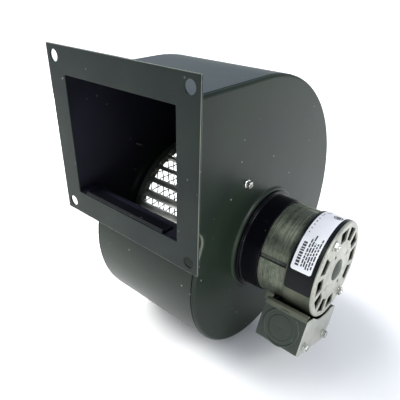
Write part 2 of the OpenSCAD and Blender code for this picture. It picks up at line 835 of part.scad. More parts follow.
outlet_flange();
scroll_wrap();
motor_side_plate();
inlet_side_plate();
cutoff_lip();
inlet_ring();
inlet_screen();
screen_ring();
screen_screws();
side_screws();
motor_mount_screws();
motor_front_bell();
stator_core();
slot_liners();
stator_coils();
shading_rings();
coil_ties();
rear_bell();
front_bearing();
rear_bearing();
oil_felts();
felt_covers();
rear_bearing_cap();
through_bolts();
through_bolt_nuts();
label_band();
rating_label();
conduit_box();
box_cover();
cover_screws();
knockout_plug();
box_bracket();
bracket_screws();
lead_grommet();
motor_leads();
wire_nuts();
ground_screw();
motor_shaft();
rotor_core();
rotor_end_rings();
thrust_washers();
wheel_hub();
hub_set_screw();
wheel_back_plate();
hub_rivets();
wheel_blades();
wheel_inlet_ring();
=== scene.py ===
"""Combustion fan: looks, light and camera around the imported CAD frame."""

import math
import random

import bmesh
import bpy
from mathutils import Matrix, Vector
from mathutils.geometry import delaunay_2d_cdt


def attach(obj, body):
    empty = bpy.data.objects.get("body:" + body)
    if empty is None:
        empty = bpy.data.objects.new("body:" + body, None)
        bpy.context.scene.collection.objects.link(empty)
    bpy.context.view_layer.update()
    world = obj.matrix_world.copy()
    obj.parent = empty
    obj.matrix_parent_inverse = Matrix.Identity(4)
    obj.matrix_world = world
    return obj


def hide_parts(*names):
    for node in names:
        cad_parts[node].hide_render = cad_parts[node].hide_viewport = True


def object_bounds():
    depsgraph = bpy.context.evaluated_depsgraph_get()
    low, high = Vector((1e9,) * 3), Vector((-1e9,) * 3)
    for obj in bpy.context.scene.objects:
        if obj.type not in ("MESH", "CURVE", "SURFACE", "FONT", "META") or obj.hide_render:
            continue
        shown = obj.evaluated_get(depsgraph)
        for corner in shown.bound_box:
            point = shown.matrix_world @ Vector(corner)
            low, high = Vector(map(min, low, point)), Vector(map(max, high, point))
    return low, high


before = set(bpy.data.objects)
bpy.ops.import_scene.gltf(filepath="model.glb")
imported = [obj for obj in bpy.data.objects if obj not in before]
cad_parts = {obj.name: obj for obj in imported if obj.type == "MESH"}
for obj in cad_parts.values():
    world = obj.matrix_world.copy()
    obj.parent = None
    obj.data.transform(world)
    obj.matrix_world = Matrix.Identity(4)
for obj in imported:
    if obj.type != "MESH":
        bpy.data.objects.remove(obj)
cad_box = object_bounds()
MM = 0.001

# ---- Sizes shared with the CAD source, in millimetres ----
SHAFT_Y, SHAFT_Z = 115.0, -101.0
TILT = math.radians(-22)
SHEET = 1.2
SIDE_X, SEAM_X, EDGE_R = 60.5, 57.3, 3.0
TOP_Z, THROAT_Z, FLAT_TOP, START_Y = 51.5, 50.5, 99.5, 1.6
SCROLL_R = [143, 136, 124, 102]
SCROLL_A = [90, 45, 0, -90, -200]
NOSE_R = 10.5
BELL_X0, BELL_X1, BELL_R, BELL_ROUND = 107.6, 134.4, 44.0, 2.0
TWIST = 4  # degrees by which the grooves, vents and bolts of the motor are turned further
BOLT_ANGLES, BOLT_CIRCLE = (135 + TWIST, 315 + TWIST), 37.5
POLE_ANGLES = (45, 135, 225, 315)
LABEL_A1, FILM = 182.5, 0.12
STACK_X0, STACK_X1, STATOR_R = 82.4, 112.4, 42.5
FRONT_X = 62.55
BOX_X0, BOX_X1, BOX_TOP, BOX_H, BOX_HALF = 95.3, 134.6, -40.5, 33.0, 32.5
WHEEL_X0 = -40.4
COLLAR_R, SCREEN_WIRE = 75.5, 1.2
FLANGE_X, FLANGE_Z, FLANGE_T = 76.2, 70.2, 1.6


# ---- Placing: functions from local (u, v, w) to the frame ----
def along_x(x0=0.0):
    return lambda u, v, w: (x0 + w, u, v)


def along_x_mirrored(x0=0.0):
    return lambda u, v, w: (-x0 - w, u, v)


def on_shaft(x0=0.0):
    return lambda u, v, w: (x0 + w, SHAFT_Y + u, SHAFT_Z + v)


def motor_point(x, y, z):
    c, s = math.cos(TILT), math.sin(TILT)
    return (x, SHAFT_Y + y * c - z * s, SHAFT_Z + y * s + z * c)


def on_motor(x0=0.0):
    return lambda u, v, w: motor_point(x0 + w, u, v)


def turned(place, angle, u0=0.0, v0=0.0):
    """The same placing, first shifted to (u0, v0) and then turned by angle about w."""
    c, s = math.cos(math.radians(angle)), math.sin(math.radians(angle))
    return lambda u, v, w: place(c * (u + u0) - s * (v + v0), s * (u + u0) + c * (v + v0), w)


# ---- Flat outlines ----
def unit(a):
    return math.cos(math.radians(a)), math.sin(math.radians(a))


def polar(r, a, cx=0.0, cy=0.0):
    return cx + r * unit(a)[0], cy + r * unit(a)[1]


def circle(r, n=64, cx=0.0, cy=0.0, hole=False):
    pts = [polar(r, 360 * i / n, cx, cy) for i in range(n)]
    return pts[::-1] if hole else pts


def rounded(points, radii, steps=5, closed=True):
    """Rounds the corners of a polygon or, when it is open, of a polyline."""
    n = len(points)
    if not hasattr(radii, "__len__"):
        radii = [radii] * n
    out = []
    for i, (p, r) in enumerate(zip(points, radii)):
        if r <= 0 or (not closed and i in (0, n - 1)):
            out.append(p)
            continue
        a, c, b = Vector(points[i - 1]), Vector(p), Vector(points[(i + 1) % n])
        d0, d1 = (a - c).normalized(), (b - c).normalized()
        half = math.acos(max(-1.0, min(1.0, d0.dot(d1)))) / 2
        if half > math.radians(89):
            out.append(p)
            continue
        reach = min(r / math.tan(half), 0.49 * (a - c).length, 0.49 * (b - c).length)
        r = reach * math.tan(half)
        centre = c + (d0 + d1).normalized() * r / math.sin(half)
        s, e = c + d0 * reach - centre, c + d1 * reach - centre
        sweep = s.angle_signed(e)
        a0 = math.atan2(s.y, s.x)
        for k in range(steps + 1):
            t = a0 - sweep * k / steps
            out.append((centre.x + r * math.cos(t), centre.y + r * math.sin(t)))
    return out


def shift_in(loop, d):
    """Moves each point to the left of its loop's direction, into the material."""
    if d == 0:
        return loop
    out = []
    n = len(loop)
    for i in range(n):
        p, q, r = Vector(loop[i - 1]), Vector(loop[i]), Vector(loop[(i + 1) % n])
        e0, e1 = (q - p), (r - q)
        if e0.length < 1e-9 or e1.length < 1e-9:
            e0 = e1 = r - p
        n0, n1 = Vector((-e0.y, e0.x)).normalized(), Vector((-e1.y, e1.x)).normalized()
        m = (n0 + n1)
        m = m.normalized() if m.length > 1e-6 else n0
        m = m * (d / max(0.35, m.dot(n0)))
        out.append((q.x + m.x, q.y + m.y))
    return out


def scroll_outline(inset=0.0):
    """Side view of the housing in (Y, Z), anticlockwise, with the same count of points each time."""
    step = 3.0
    centre = [Vector((FLAT_TOP, TOP_Z - SCROLL_R[0]))]
    for i in range(3):
        centre.append(centre[i] + (SCROLL_R[i] - SCROLL_R[i + 1]) * Vector(unit(SCROLL_A[i + 1])))
    pts = [(START_Y, TOP_Z - inset)]
    pts += [(START_Y + (FLAT_TOP - START_Y) * k / 8, TOP_Z - inset) for k in range(1, 8)]
    for i in range(4):
        count = round((SCROLL_A[i] - SCROLL_A[i + 1]) / step)
        for k in range(count + (i == 3)):
            a = SCROLL_A[i] + (SCROLL_A[i + 1] - SCROLL_A[i]) * k / count
            p = centre[i] + (SCROLL_R[i] - inset) * Vector(unit(a))
            pts.append((p.x, p.y))
    rise = SCROLL_A[4] + 270
    start = centre[3] + SCROLL_R[3] * Vector(unit(SCROLL_A[4]))
    nose_z = -THROAT_Z - NOSE_R
    nose_y = (start.x + (nose_z - start.y) / math.tan(math.radians(rise))
              - NOSE_R / math.sin(math.radians(rise)))
    for k in range(13):
        a = rise - 90 + (180 - rise) * k / 12
        pts.append(polar(NOSE_R + inset, a, nose_y, nose_z))
    pts.append((START_Y, -THROAT_Z + inset))
    return pts[::-1]


# ---- Solids as (points, faces) ----
def edge_levels(w0, w1, r, steps):
    """Levels (w, inset) of a wall from w0 to w1 with both edges rounded by r."""
    first = [(w0 + r * (1 - math.cos(t)), r * (1 - math.sin(t)))
             for t in [math.pi / 2 * k / steps for k in range(steps + 1)]]
    return first + [(w0 + w1 - w, i) for w, i in reversed(first)]


def filled(loops):
    """Triangles between flat loops, as indices into all their points; inner loops are holes."""
    points = [Vector(p) for loop in loops for p in loop]
    edges, start = [], 0
    for loop in loops:
        edges += [(start + i, start + (i + 1) % len(loop)) for i in range(len(loop))]
        start += len(loop)
    at, _, triangles, source, _, _ = delaunay_2d_cdt(points, edges, [], 0, 1e-7)
    kept = []
    for t in triangles:
        u, v = sum((at[k] for k in t), Vector((0, 0))) / 3
        inside = False
        for a, b in edges:
            (ua, va), (ub, vb) = points[a], points[b]
            if (va > v) != (vb > v) and u < ua + (ub - ua) * (v - va) / (vb - va):
                inside = not inside
        if inside:
            kept.append(tuple(source[k][0] for k in t))
    return kept


def loft(outline, holes, levels, place, hole_levels=None, open_rows=0):
    """Wall through levels (w, inset) of an outline, closed by caps that have the holes in them.

    The last side of the outline is left open in the first open_rows rows.
    """
    points, faces, ends = [], [], []
    shapes = [(outline, levels)] + [(h, hole_levels or levels) for h in holes]
    for shape, rows in shapes:
        rings = []
        for w, inset in rows:
            pts = shape(inset) if callable(shape) else shift_in(shape, inset)
            rings.append((len(points), pts))
            points += [place(u, v, w) for u, v in pts]
        for row, ((a, pa), (b, _)) in enumerate(zip(rings, rings[1:])):
            n = len(pa)
            sides = n - 1 if shape is outline and row < open_rows else n
            faces += [(a + i, a + (i + 1) % n, b + (i + 1) % n, b + i) for i in range(sides)]
        ends.append((rings[0], rings[-1]))
    for side in (0, 1):
        index = [e[side][0] + i for e in ends for i in range(len(e[side][1]))]
        faces += [tuple(index[k] for k in t) for t in filled([e[side][1] for e in ends])]
    return points, faces


def plate(outline, holes, w0, w1, place, r=0.25, steps=2):
    return loft(outline, holes, edge_levels(w0, w1, r, steps), place)


def lathe(profile, place, n=96, closed=False):
    """Turns a profile of (radius, w) about w."""
    points, faces, rings = [], [], []
    for r, w in profile:
        rings.append(len(points))
        points += [place(0, 0, w)] if r == 0 else [place(*polar(r, 360 * i / n), w) for i in range(n)]
    rows = list(range(len(profile)))
    pairs = list(zip(rows, rows[1:])) + ([(rows[-1], 0)] if closed else [])
    for a, b in pairs:
        ra, rb = profile[a][0], profile[b][0]
        for i in range(n):
            j = (i + 1) % n
            quad = ((rings[a],) if ra == 0 else (rings[a] + i, rings[a] + j)) + (
                (rings[b],) if rb == 0 else (rings[b] + j, rings[b] + i))
            if len(quad) > 2:
                faces.append(quad)
    return points, faces


def hex_head(place, w0, w1, flat_r):
    """Hexagonal head or nut blank with a turned chamfer on its top."""
    corner = flat_r / math.cos(math.radians(30))
    top_r = flat_r * 0.93
    chamfer = (corner - top_r) * 0.55
    angles = [7.5 * i for i in range(48)]
    full = [flat_r / math.cos(math.radians((a + 30) % 60 - 30)) for a in angles]
    levels = [(w0, corner), (w1 - chamfer, corner)]
    levels += [(w1 - chamfer * (1 - k / 4), corner - (corner - top_r) * k / 4) for k in range(1, 5)]
    points, faces = [], []
    for w, limit in levels:
        points += [place(*polar(min(f, limit), a), w) for a, f in zip(angles, full)]
    m = len(angles)
    for k in range(len(levels) - 1):
        faces += [(k * m + i, k * m + (i + 1) % m, (k + 1) * m + (i + 1) % m, (k + 1) * m + i)
                  for i in range(m)]
    faces += [tuple(range(m)), tuple(range((len(levels) - 1) * m, len(levels) * m))]
    return points, faces


def joined(*solids):
    points, faces = [], []
    for p, f in solids:
        base = len(points)
        points += p
        faces += [tuple(i + base for i in face) for face in f]
    return points, faces


def block(place, u0, u1, v0, v1, w0, w1, r=0.2):
    return plate([(u0, v0), (u1, v0), (u1, v1), (u0, v1)], [], w0, w1, place, r)


def tube(path, r, n):
    """Round bar with n sides along a list of points in the frame."""
    pts = [Vector(p) for p in path]
    points, faces = [], []
    side = None
    for i, p in enumerate(pts):
        d = (pts[min(i + 1, len(pts) - 1)] - pts[max(i - 1, 0)]).normalized()
        if side is None:
            side = d.orthogonal().normalized()
        side = (side - d * side.dot(d)).normalized()
        up = d.cross(side)
        points += [tuple(p + side * u + up * v) for u, v in circle(r, n)]
        if i:
            a, b = (i - 1) * n, i * n
            faces += [(a + k, a + (k + 1) % n, b + (k + 1) % n, b + k) for k in range(n)]
    faces += [tuple(range(n)), tuple(range(len(points) - n, len(points)))]
    return points, faces


# ---- Meshes and pieces ----
def mesh_from(name, solid):
    points, faces = solid
    mesh = bpy.data.meshes.new(name)
    mesh.from_pydata([tuple(c * MM for c in p) for p in points], [], faces)
    bm = bmesh.new()
    bm.from_mesh(mesh)
    bmesh.ops.remove_doubles(bm, verts=bm.verts, dist=2e-6)
    bmesh.ops.recalc_face_normals(bm, faces=bm.faces)
    bm.to_mesh(mesh)
    bm.free()
    return mesh


def cut(solid, *cutters):
    """Takes the cutters away from a solid."""
    target = bpy.data.objects.new("cut_target", mesh_from("cut_target", solid))
    bpy.context.scene.collection.objects.link(target)
    for c in cutters:
        tool = bpy.data.objects.new("cut_tool", mesh_from("cut_tool", c))
        bpy.context.scene.collection.objects.link(tool)
        mod = target.modifiers.new("cut", "BOOLEAN")
        mod.object, mod.operation, mod.solver = tool, "DIFFERENCE", "EXACT"
        made = bpy.data.meshes.new_from_object(
            target.evaluated_get(bpy.context.evaluated_depsgraph_get()))
        target.modifiers.remove(mod)
        target.data = made
        bpy.data.objects.remove(tool)
    result = ([tuple(c / MM for c in v.co) for v in target.data.vertices],
              [tuple(f.vertices) for f in target.data.polygons])
    bpy.data.objects.remove(target)
    return result


def finish_piece(obj, material, body, nodes, sharp=34):
    for poly in obj.data.polygons:
        poly.use_smooth = True
    obj.data.set_sharp_from_angle(angle=math.radians(sharp))
    obj.data.materials.clear()
    obj.data.materials.append(material)
    weighted = obj.modifiers.new("weighted_normals", "WEIGHTED_NORMAL")
    weighted.keep_sharp = True
    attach(obj, body)
    if nodes:
        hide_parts(*nodes)
    return obj


def piece(name, solid, material, nodes=(), body="root", sharp=34):
    obj = bpy.data.objects.new(name, mesh_from(name, solid))
    bpy.context.scene.collection.objects.link(obj)
    return finish_piece(obj, material, body, nodes, sharp)


def repaint(obj, material, where):
    """One more material, on the faces for which where(centre in mm, normal) holds."""
    obj.data.materials.append(M[material])
    for face in obj.data.polygons:
        if where(face.center / MM, face.normal):
            face.material_index = len(obj.data.materials) - 1


def softened(node, material, width=0.3):
    """A CAD node's copy with its edges rounded."""
    obj = bpy.data.objects.new(node + "_soft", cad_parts[node].data.copy())
    bpy.context.scene.collection.objects.link(obj)
    bm = bmesh.new()
    bm.from_mesh(obj.data)
    bmesh.ops.remove_doubles(bm, verts=bm.verts, dist=2e-6)
    bmesh.ops.dissolve_limit(bm, angle_limit=math.radians(0.6), verts=bm.verts, edges=bm.edges)
    bm.to_mesh(obj.data)
    bm.free()
    bevel = obj.modifiers.new("round", "BEVEL")
    bevel.width, bevel.segments = width * MM, 2
    bevel.limit_method, bevel.angle_limit = "ANGLE", math.radians(40)
    return finish_piece(obj, material, "root", (node,), 40)


# ---- Materials ----
class Look:
    """A Principled material whose colour, roughness and bump come from procedural nodes."""

    def __init__(self, name, metallic=0.0, **sockets):
        self.material = bpy.data.materials.new(name)
        self.material.use_nodes = True
        self.tree = self.material.node_tree
        self.tree.nodes.clear()
        out = self.node("ShaderNodeOutputMaterial")
        self.shader = self.node("ShaderNodeBsdfPrincipled")
        self.link(self.shader.outputs[0], out.inputs[0])
        self.shader.inputs["Metallic"].default_value = metallic
        for key, value in sockets.items():
            self.shader.inputs[key.replace("_", " ")].default_value = value
        self.where = self.node("ShaderNodeTexCoord").outputs["Object"]

    def node(self, kind, **settings):
        made = self.tree.nodes.new(kind)
        for key, value in settings.items():
            setattr(made, key, value)
        return made

    def link(self, a, b):
        self.tree.links.new(a, b)

    def put(self, socket, value):
        if isinstance(value, bpy.types.NodeSocket):
            self.link(value, socket)
        else:
            socket.default_value = value

    def place(self, stretch=(1, 1, 1), move=(0, 0, 0)):
        m = self.node("ShaderNodeMapping")
        self.link(self.where, m.inputs["Vector"])
        m.inputs["Scale"].default_value = stretch
        m.inputs["Location"].default_value = move
        return m.outputs[0]

    def noise(self, scale, detail=3.0, rough=0.5, warp=0.0, stretch=(1, 1, 1), move=(0, 0, 0)):
        t = self.node("ShaderNodeTexNoise")
        self.link(self.place(stretch, move), t.inputs["Vector"])
        t.inputs["Scale"].default_value = scale
        t.inputs["Detail"].default_value = detail
        t.inputs["Roughness"].default_value = rough
        t.inputs["Distortion"].default_value = warp
        return t.outputs["Fac"]

    def cells(self, scale, output="Distance", move=(0, 0, 0)):
        t = self.node("ShaderNodeTexVoronoi")
        self.link(self.place(move=move), t.inputs["Vector"])
        t.inputs["Scale"].default_value = scale
        return t.outputs[output]

    def ramp(self, value, stops):
        r = self.node("ShaderNodeValToRGB")
        ends = r.color_ramp.elements
        while len(ends) < len(stops):
            ends.new(0.5)
        for e, (at, colour) in zip(ends, stops):
            e.position = at
            e.color = (*colour, 1) if hasattr(colour, "__len__") else (colour, colour, colour, 1)
        self.link(value, r.inputs["Fac"])
        return r.outputs["Color"]

    def mix(self, amount, a, b):
        m = self.node("ShaderNodeMix", data_type="RGBA")
        self.put(m.inputs["Factor"], amount)
        for socket, value in ((m.inputs[6], a), (m.inputs[7], b)):
            self.put(socket, value if isinstance(value, bpy.types.NodeSocket) else (*value, 1))
        return m.outputs[2]

    def math(self, operation, a, b=0.0, c=None):
        m = self.node("ShaderNodeMath", operation=operation)
        self.put(m.inputs[0], a)
        self.put(m.inputs[1], b)
        if c is not None:
            self.put(m.inputs[2], c)
        return m.outputs[0]

    def span(self, value, low, high):
        """Stretches 0..1 to low..high."""
        return self.math("MULTIPLY_ADD", value, high - low, low)

    def colour(self, value):
        self.put(self.shader.inputs["Base Color"], value)

    def rough(self, value, low, high):
        self.link(self.span(value, low, high), self.shader.inputs["Roughness"])

    def bump(self, value, strength, depth_mm):
        b = self.node("ShaderNodeBump")
        b.inputs["Strength"].default_value = strength
        b.inputs["Distance"].default_value = depth_mm * MM
        self.link(value, b.inputs["Height"])
        if self.shader.inputs["Normal"].is_linked:
            self.link(self.shader.inputs["Normal"].links[0].from_socket, b.inputs["Normal"])
        self.link(b.outputs[0], self.shader.inputs["Normal"])

    def specks(self, cells, radius, cell_move, patches, patch_move, low, high):
        """Dots at the middles of scattered cells, let in where a slow noise climbs from low to high."""
        dots = self.ramp(self.cells(cells, move=cell_move), [(0.0, 1.0), (radius, 0.0)])
        patch = self.ramp(self.noise(patches, 2, move=patch_move), [(low, 0.0), (high, 1.0)])
        return self.math("MULTIPLY", dots, patch)


def paint(name, dark, light, rough, dust=0.5, peel=0.05, **sockets):
    """Sprayed enamel: slow drifts of tone, orange peel, fine dust, coarser grit and rub marks."""
    k = Look(name, **sockets)
    drift = k.noise(14, 4, 0.55, 0.4)
    fine = k.noise(420, 3, 0.6)
    base = k.ramp(drift, [(0.3, dark), (0.72, light)])
    base = k.mix(k.span(fine, 0.0, 0.35), base, light)
    fine_dust = k.specks(260, 0.055, (0, 0, 0), 9, (3, 1, 2), 0.48, 0.66)
    grit = k.specks(95, 0.09, (1, 4, 2), 16, (7, 2, 5), 0.46, 0.56)
    dusted = k.math("MULTIPLY", k.math("MAXIMUM", fine_dust, grit), dust)
    k.colour(k.mix(dusted, base, (0.42, 0.43, 0.42)))
    scuffs = k.noise(30, 5, 0.7, 1.2, stretch=(1, 1, 6))
    k.rough(k.math("ADD", k.math("MULTIPLY", drift, 0.6), k.math("MULTIPLY", scuffs, 0.4)), *rough)
    k.bump(k.noise(750, 2), peel, 0.12)
    k.bump(k.noise(22, 2, move=(4, 0, 3)), 0.5, 0.5)
    return k.material


def metal(name, dark, light, rough, grain=(1, 1, 1), scale=120, bump=0.06, metallic=0.9, spots=0.0,
          **sockets):
    """Bare or plated metal: cloudy tone, directional grain and small stains."""
    k = Look(name, metallic=metallic, **sockets)
    cloud = k.noise(scale * 0.3, 4, 0.6, 0.5)
    streak = k.noise(scale * 4, 3, 0.6, stretch=grain)
    tone = k.math("ADD", k.math("MULTIPLY", cloud, 0.6), k.math("MULTIPLY", streak, 0.4))
    base = k.ramp(tone, [(0.34, dark), (0.64, light)])
    if spots:
        stain = k.ramp(k.noise(scale * 1.6, 5, 0.75, move=(5, 2, 7)), [(0.56, 0.0), (0.72, 1.0)])
        base = k.mix(k.math("MULTIPLY", stain, spots), base, tuple(0.35 * c for c in dark))
    k.colour(base)
    k.rough(tone, *rough)
    k.bump(streak, bump, 0.1)
    return k.material


def plastic(name, dark, light, rough, scale=300, bump=0.05, **sockets):
    k = Look(name, **sockets)
    tone = k.noise(scale * 0.2)
    fine = k.noise(scale * 4, 2, 0.6)
    k.colour(k.mix(k.span(fine, 0.0, 0.25), k.ramp(tone, [(0.3, dark), (0.7, light)]), dark))
    k.rough(tone, *rough)
    k.bump(fine, bump, 0.08)
    return k.material


def zinc_spangle(name, dark, light):
    """Galvanised sheet with its crystal pattern."""
    k = Look(name, metallic=0.85)
    crystal = k.cells(140, output="Color")
    grey = k.node("ShaderNodeSeparateColor")
    k.link(crystal, grey.inputs[0])
    tone = k.math("ADD", k.math("MULTIPLY", grey.outputs[0], 0.45),
                  k.math("MULTIPLY", k.noise(60, 4, 0.6), 0.55))
    k.colour(k.ramp(tone, [(0.25, dark), (0.75, light)]))
    k.rough(tone, 0.34, 0.52)
    k.bump(k.noise(900, 2), 0.05, 0.05)
    return k.material


def laminated(name, dark, light):
    """Edges of stacked steel sheets: thin lines round the stack, with oily patches and rub marks."""
    k = Look(name, metallic=0.6)
    lines = k.noise(1300, 1, 0.4, stretch=(1, 0.01, 0.01))
    slow = k.noise(28, 3, 0.55, move=(2, 0, 1))
    marks = k.noise(420, 3, 0.7, stretch=(1, 0.5, 0.5))
    tone = k.math("ADD", k.math("MULTIPLY", lines, 0.35), k.math("MULTIPLY", slow, 0.35))
    tone = k.math("ADD", tone, k.math("MULTIPLY", marks, 0.3))
    k.colour(k.ramp(tone, [(0.38, dark), (0.60, light)]))
    k.rough(slow, 0.26, 0.42)
    k.bump(lines, 0.6, 0.2)
    k.bump(marks, 0.25, 0.08)
    return k.material


M = {
    "housing": paint("satin_black_enamel", (0.006, 0.009, 0.009), (0.012, 0.022, 0.012),
                     (0.30, 0.44), dust=0.9, peel=0.06, Specular_IOR_Level=0.21),
    "flange": paint("flange_enamel", (0.004, 0.007, 0.008), (0.017, 0.026, 0.021), (0.30, 0.55),
                    peel=0.25, Specular_IOR_Level=0.13),
    # Lighter edge paint: partly wear, partly a painted highlight for the thin light lines that the edges
    # catch.
    "worn_and_highlight": paint("worn_edge_and_painted_highlight_enamel", (0.012, 0.018, 0.013), (0.16, 0.18, 0.14), (0.28, 0.5), dust=0.3,
                  peel=0.2),
    "inside": paint("thin_inside_coat", (0.006, 0.006, 0.011), (0.014, 0.014, 0.025), (0.45, 0.6), dust=0.4,
                    peel=0.2, Specular_IOR_Level=0.2),
    "box": paint("box_enamel", (0.010, 0.019, 0.012), (0.020, 0.034, 0.020), (0.34, 0.48), dust=0.35),
    # Near-black coat for the cutoff lip: painted shade, much darker than the housing's own paint.
    "roll": paint("cutoff_roll_painted_shade", (0.0015, 0.002, 0.003), (0.004, 0.005, 0.008), (0.4, 0.55), dust=0.3,
                  peel=0.1, Specular_IOR_Level=0.12),
    # Lighter enamel for the box's top lip: painted light for its upward face, lighter than the box's own
    # paint.
    "lip": paint("box_lip_painted_light_enamel", (0.030, 0.038, 0.024), (0.16, 0.17, 0.12), (0.26, 0.40), dust=0.4,
                 peel=0.08),
    "gloss": paint("gloss_black_enamel", (0.0015, 0.0015, 0.003), (0.004, 0.004, 0.006),
                   (0.12, 0.22), dust=0.25, peel=0.03, Specular_IOR_Level=0.12),
    "bell": metal("bright_zinc_plate", (0.25, 0.26, 0.22), (0.49, 0.49, 0.43), (0.30, 0.46),
                  spots=0.5, metallic=0.5),
    # Darker zinc for the bell's skirt: painted shade and painted reflection of the dark box below, with real
    # stains.
    "skirt": metal("zinc_plate_painted_shade", (0.04, 0.05, 0.035), (0.13, 0.14, 0.10), (0.30, 0.5),
                   grain=(1, 1, 8), spots=0.4, metallic=0.8),
    "cover": metal("zinc_plate_cover", (0.34, 0.35, 0.31), (0.53, 0.53, 0.48), (0.32, 0.48),
                   grain=(1, 0.1, 1), spots=0.3),
    "screw": metal("zinc_screw", (0.34, 0.35, 0.33), (0.66, 0.66, 0.62), (0.16, 0.30), scale=300,
                   spots=0.4),
    # Brighter copy of the screw finish: a painted highlight for the side screws.
    "screw_painted_highlight": metal("zinc_screw_painted_highlight", (0.50, 0.50, 0.48), (0.82, 0.82, 0.78), (0.16, 0.28),
                          scale=300, spots=0.4),
    "steel": metal("ground_steel", (0.48, 0.48, 0.49), (0.68, 0.68, 0.69), (0.16, 0.3),
                   grain=(6, 1, 1), scale=200),
    "wire": metal("drawn_wire", (0.05, 0.05, 0.05), (0.13, 0.13, 0.12), (0.3, 0.45), scale=400),
    # Dark steel: the set screw's black oxide, and painted shade in the stack's grooves.
    "black_steel_and_painted_shade": metal("black_oxide_steel_and_painted_shade", (0.02, 0.02, 0.022), (0.05, 0.05, 0.055), (0.3, 0.45)),
    "zinc": zinc_spangle("galvanised_sheet", (0.40, 0.41, 0.38), (0.62, 0.63, 0.58)),
    # Dark rim: painted shade on the wheel's inlet ring inside the housing, with real stains; the blades are
    # much lighter.
    "rim": metal("wheel_rim_painted_shade", (0.05, 0.05, 0.045), (0.15, 0.15, 0.13), (0.4, 0.55), spots=0.3, metallic=0.7),
    "stack": laminated("laminated_steel", (0.040, 0.052, 0.033), (0.20, 0.22, 0.165)),
    "bronze": metal("sintered_bronze", (0.32, 0.19, 0.07), (0.55, 0.36, 0.16), (0.4, 0.55), scale=400),
    "copper": metal("bare_copper", (0.55, 0.22, 0.10), (0.78, 0.38, 0.2), (0.25, 0.4)),
    "aluminium": metal("cast_aluminium", (0.55, 0.56, 0.57), (0.75, 0.76, 0.77), (0.4, 0.55)),
    "band": plastic("black_film", (0.003, 0.004, 0.005), (0.007, 0.009, 0.011), (0.24, 0.36),
                    Specular_IOR_Level=0.13),
    "label": plastic("white_film", (0.90, 0.91, 0.94), (0.97, 0.97, 1.0), (0.28, 0.42), bump=0.03),
    "ink": plastic("print_ink", (0.02, 0.02, 0.025), (0.06, 0.06, 0.07), (0.4, 0.5)),
    "paper": plastic("fish_paper", (0.60, 0.55, 0.40), (0.75, 0.70, 0.55), (0.6, 0.75)),
    "cord": plastic("lacing_cord", (0.60, 0.56, 0.45), (0.78, 0.74, 0.62), (0.7, 0.85), bump=0.3),
    "felt": plastic("oiled_felt", (0.20, 0.14, 0.07), (0.36, 0.27, 0.15), (0.8, 0.95), bump=0.4),
    "rubber": plastic("black_rubber", (0.012, 0.012, 0.012), (0.03, 0.03, 0.03), (0.5, 0.65)),
    "lead": plastic("lead_jacket", (0.015, 0.015, 0.017), (0.035, 0.035, 0.037), (0.35, 0.5)),
    "nut": plastic("wire_nut_orange", (0.62, 0.16, 0.02), (0.80, 0.26, 0.05), (0.25, 0.4)),
    "green": metal("green_zinc", (0.03, 0.16, 0.06), (0.07, 0.30, 0.12), (0.25, 0.4)),
    "nylon": plastic("nylon_washer", (0.62, 0.55, 0.34), (0.78, 0.72, 0.5), (0.4, 0.55)),
}


def enamel_wire():
    """Coil of varnished magnet wire: fine turns lying side by side."""
    k = Look("magnet_wire", metallic=0.5, Coat_Weight=0.3)
    turns = k.noise(1500, 1, 0.4, stretch=(1, 1, 0.05))
    k.colour(k.ramp(turns, [(0.35, (0.10, 0.03, 0.012)), (0.65, (0.30, 0.12, 0.05))]))
    k.rough(turns, 0.25, 0.45)
    k.bump(turns, 0.6, 0.3)
    return k.material


M["coil"] = enamel_wire()


def look(material, *nodes):
    """Better material on CAD nodes that keep their mesh."""
    for n in nodes:
        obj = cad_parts[n]
        obj.data.materials.clear()
        obj.data.materials.append(M[material])


look("coil", "stator_coils")
look("paper", "slot_liners")
look("copper", "shading_rings")
look("cord", "coil_ties")
look("bronze", "front_bearing", "rear_bearing")
look("felt", "oil_felts")
look("screw", "felt_covers")
look("rubber", "lead_grommet")
look("green", "ground_screw")
look("steel", "motor_shaft")
look("stack", "rotor_core")
look("aluminium", "rotor_end_rings")
look("nylon", "thrust_washers")
look("zinc", "wheel_blades", "wheel_hub", "wheel_back_plate")
look("screw", "hub_rivets", "motor_mount_screws")
look("black_steel_and_painted_shade", "hub_set_screw")
look("nut", "wire_nuts")
look("lead", "motor_leads")

# ---- Housing ----
def rectangle(half_u, half_v):
    return [(-half_u, -half_v), (half_u, -half_v), (half_u, half_v), (-half_u, half_v)]


def on_outlet(u, v, w):
    return (u, w, v)


def flange_rim(centre, normal):
    """The rounded edges round the outside of the flange."""
    near_rim = abs(centre.x) > FLANGE_X - 1.2 or abs(centre.z) > FLANGE_Z - 1.2
    return near_rim and max(abs(normal.x), abs(normal.y), abs(normal.z)) < 0.97


opening = rounded(rectangle(56.5, 49)[::-1], 0.8, 3)
bolt_holes = [circle(4.5, 40, sx * 67.6, sz * 61.7, hole=True) for sx in (-1, 1) for sz in (-1, 1)]
flange_plate = piece(
    "outlet_flange_plate",
    plate(rounded(rectangle(FLANGE_X, FLANGE_Z), 0.8, 3), [opening] + bolt_holes, 0, FLANGE_T, on_outlet,
          0.4),
    M["flange"], ("outlet_flange",))
# The flange's rounded rim takes the lighter edge paint: partly wear, partly a painted highlight.
repaint(flange_plate, "worn_and_highlight", flange_rim)

outer, inner = scroll_outline(0), scroll_outline(SHEET)
wrap_sheet = piece("scroll_wrap_sheet", plate(outer + inner[::-1], [], -SEAM_X, SEAM_X, along_x(), 0.55, 3),
                   M["housing"], ("scroll_wrap",))


def inside_wrap(centre, normal):
    """The faces that look at the wheel, and the top of the nose's sheet inside the outlet."""
    inward = Vector((0, SHAFT_Y, SHAFT_Z + 20)) - centre
    in_outlet = centre.y < 70 and abs(centre.z) < THROAT_Z and normal.z > 0.5
    return abs(normal.x) < 0.5 and (normal.dot(inward) > 0 or in_outlet)


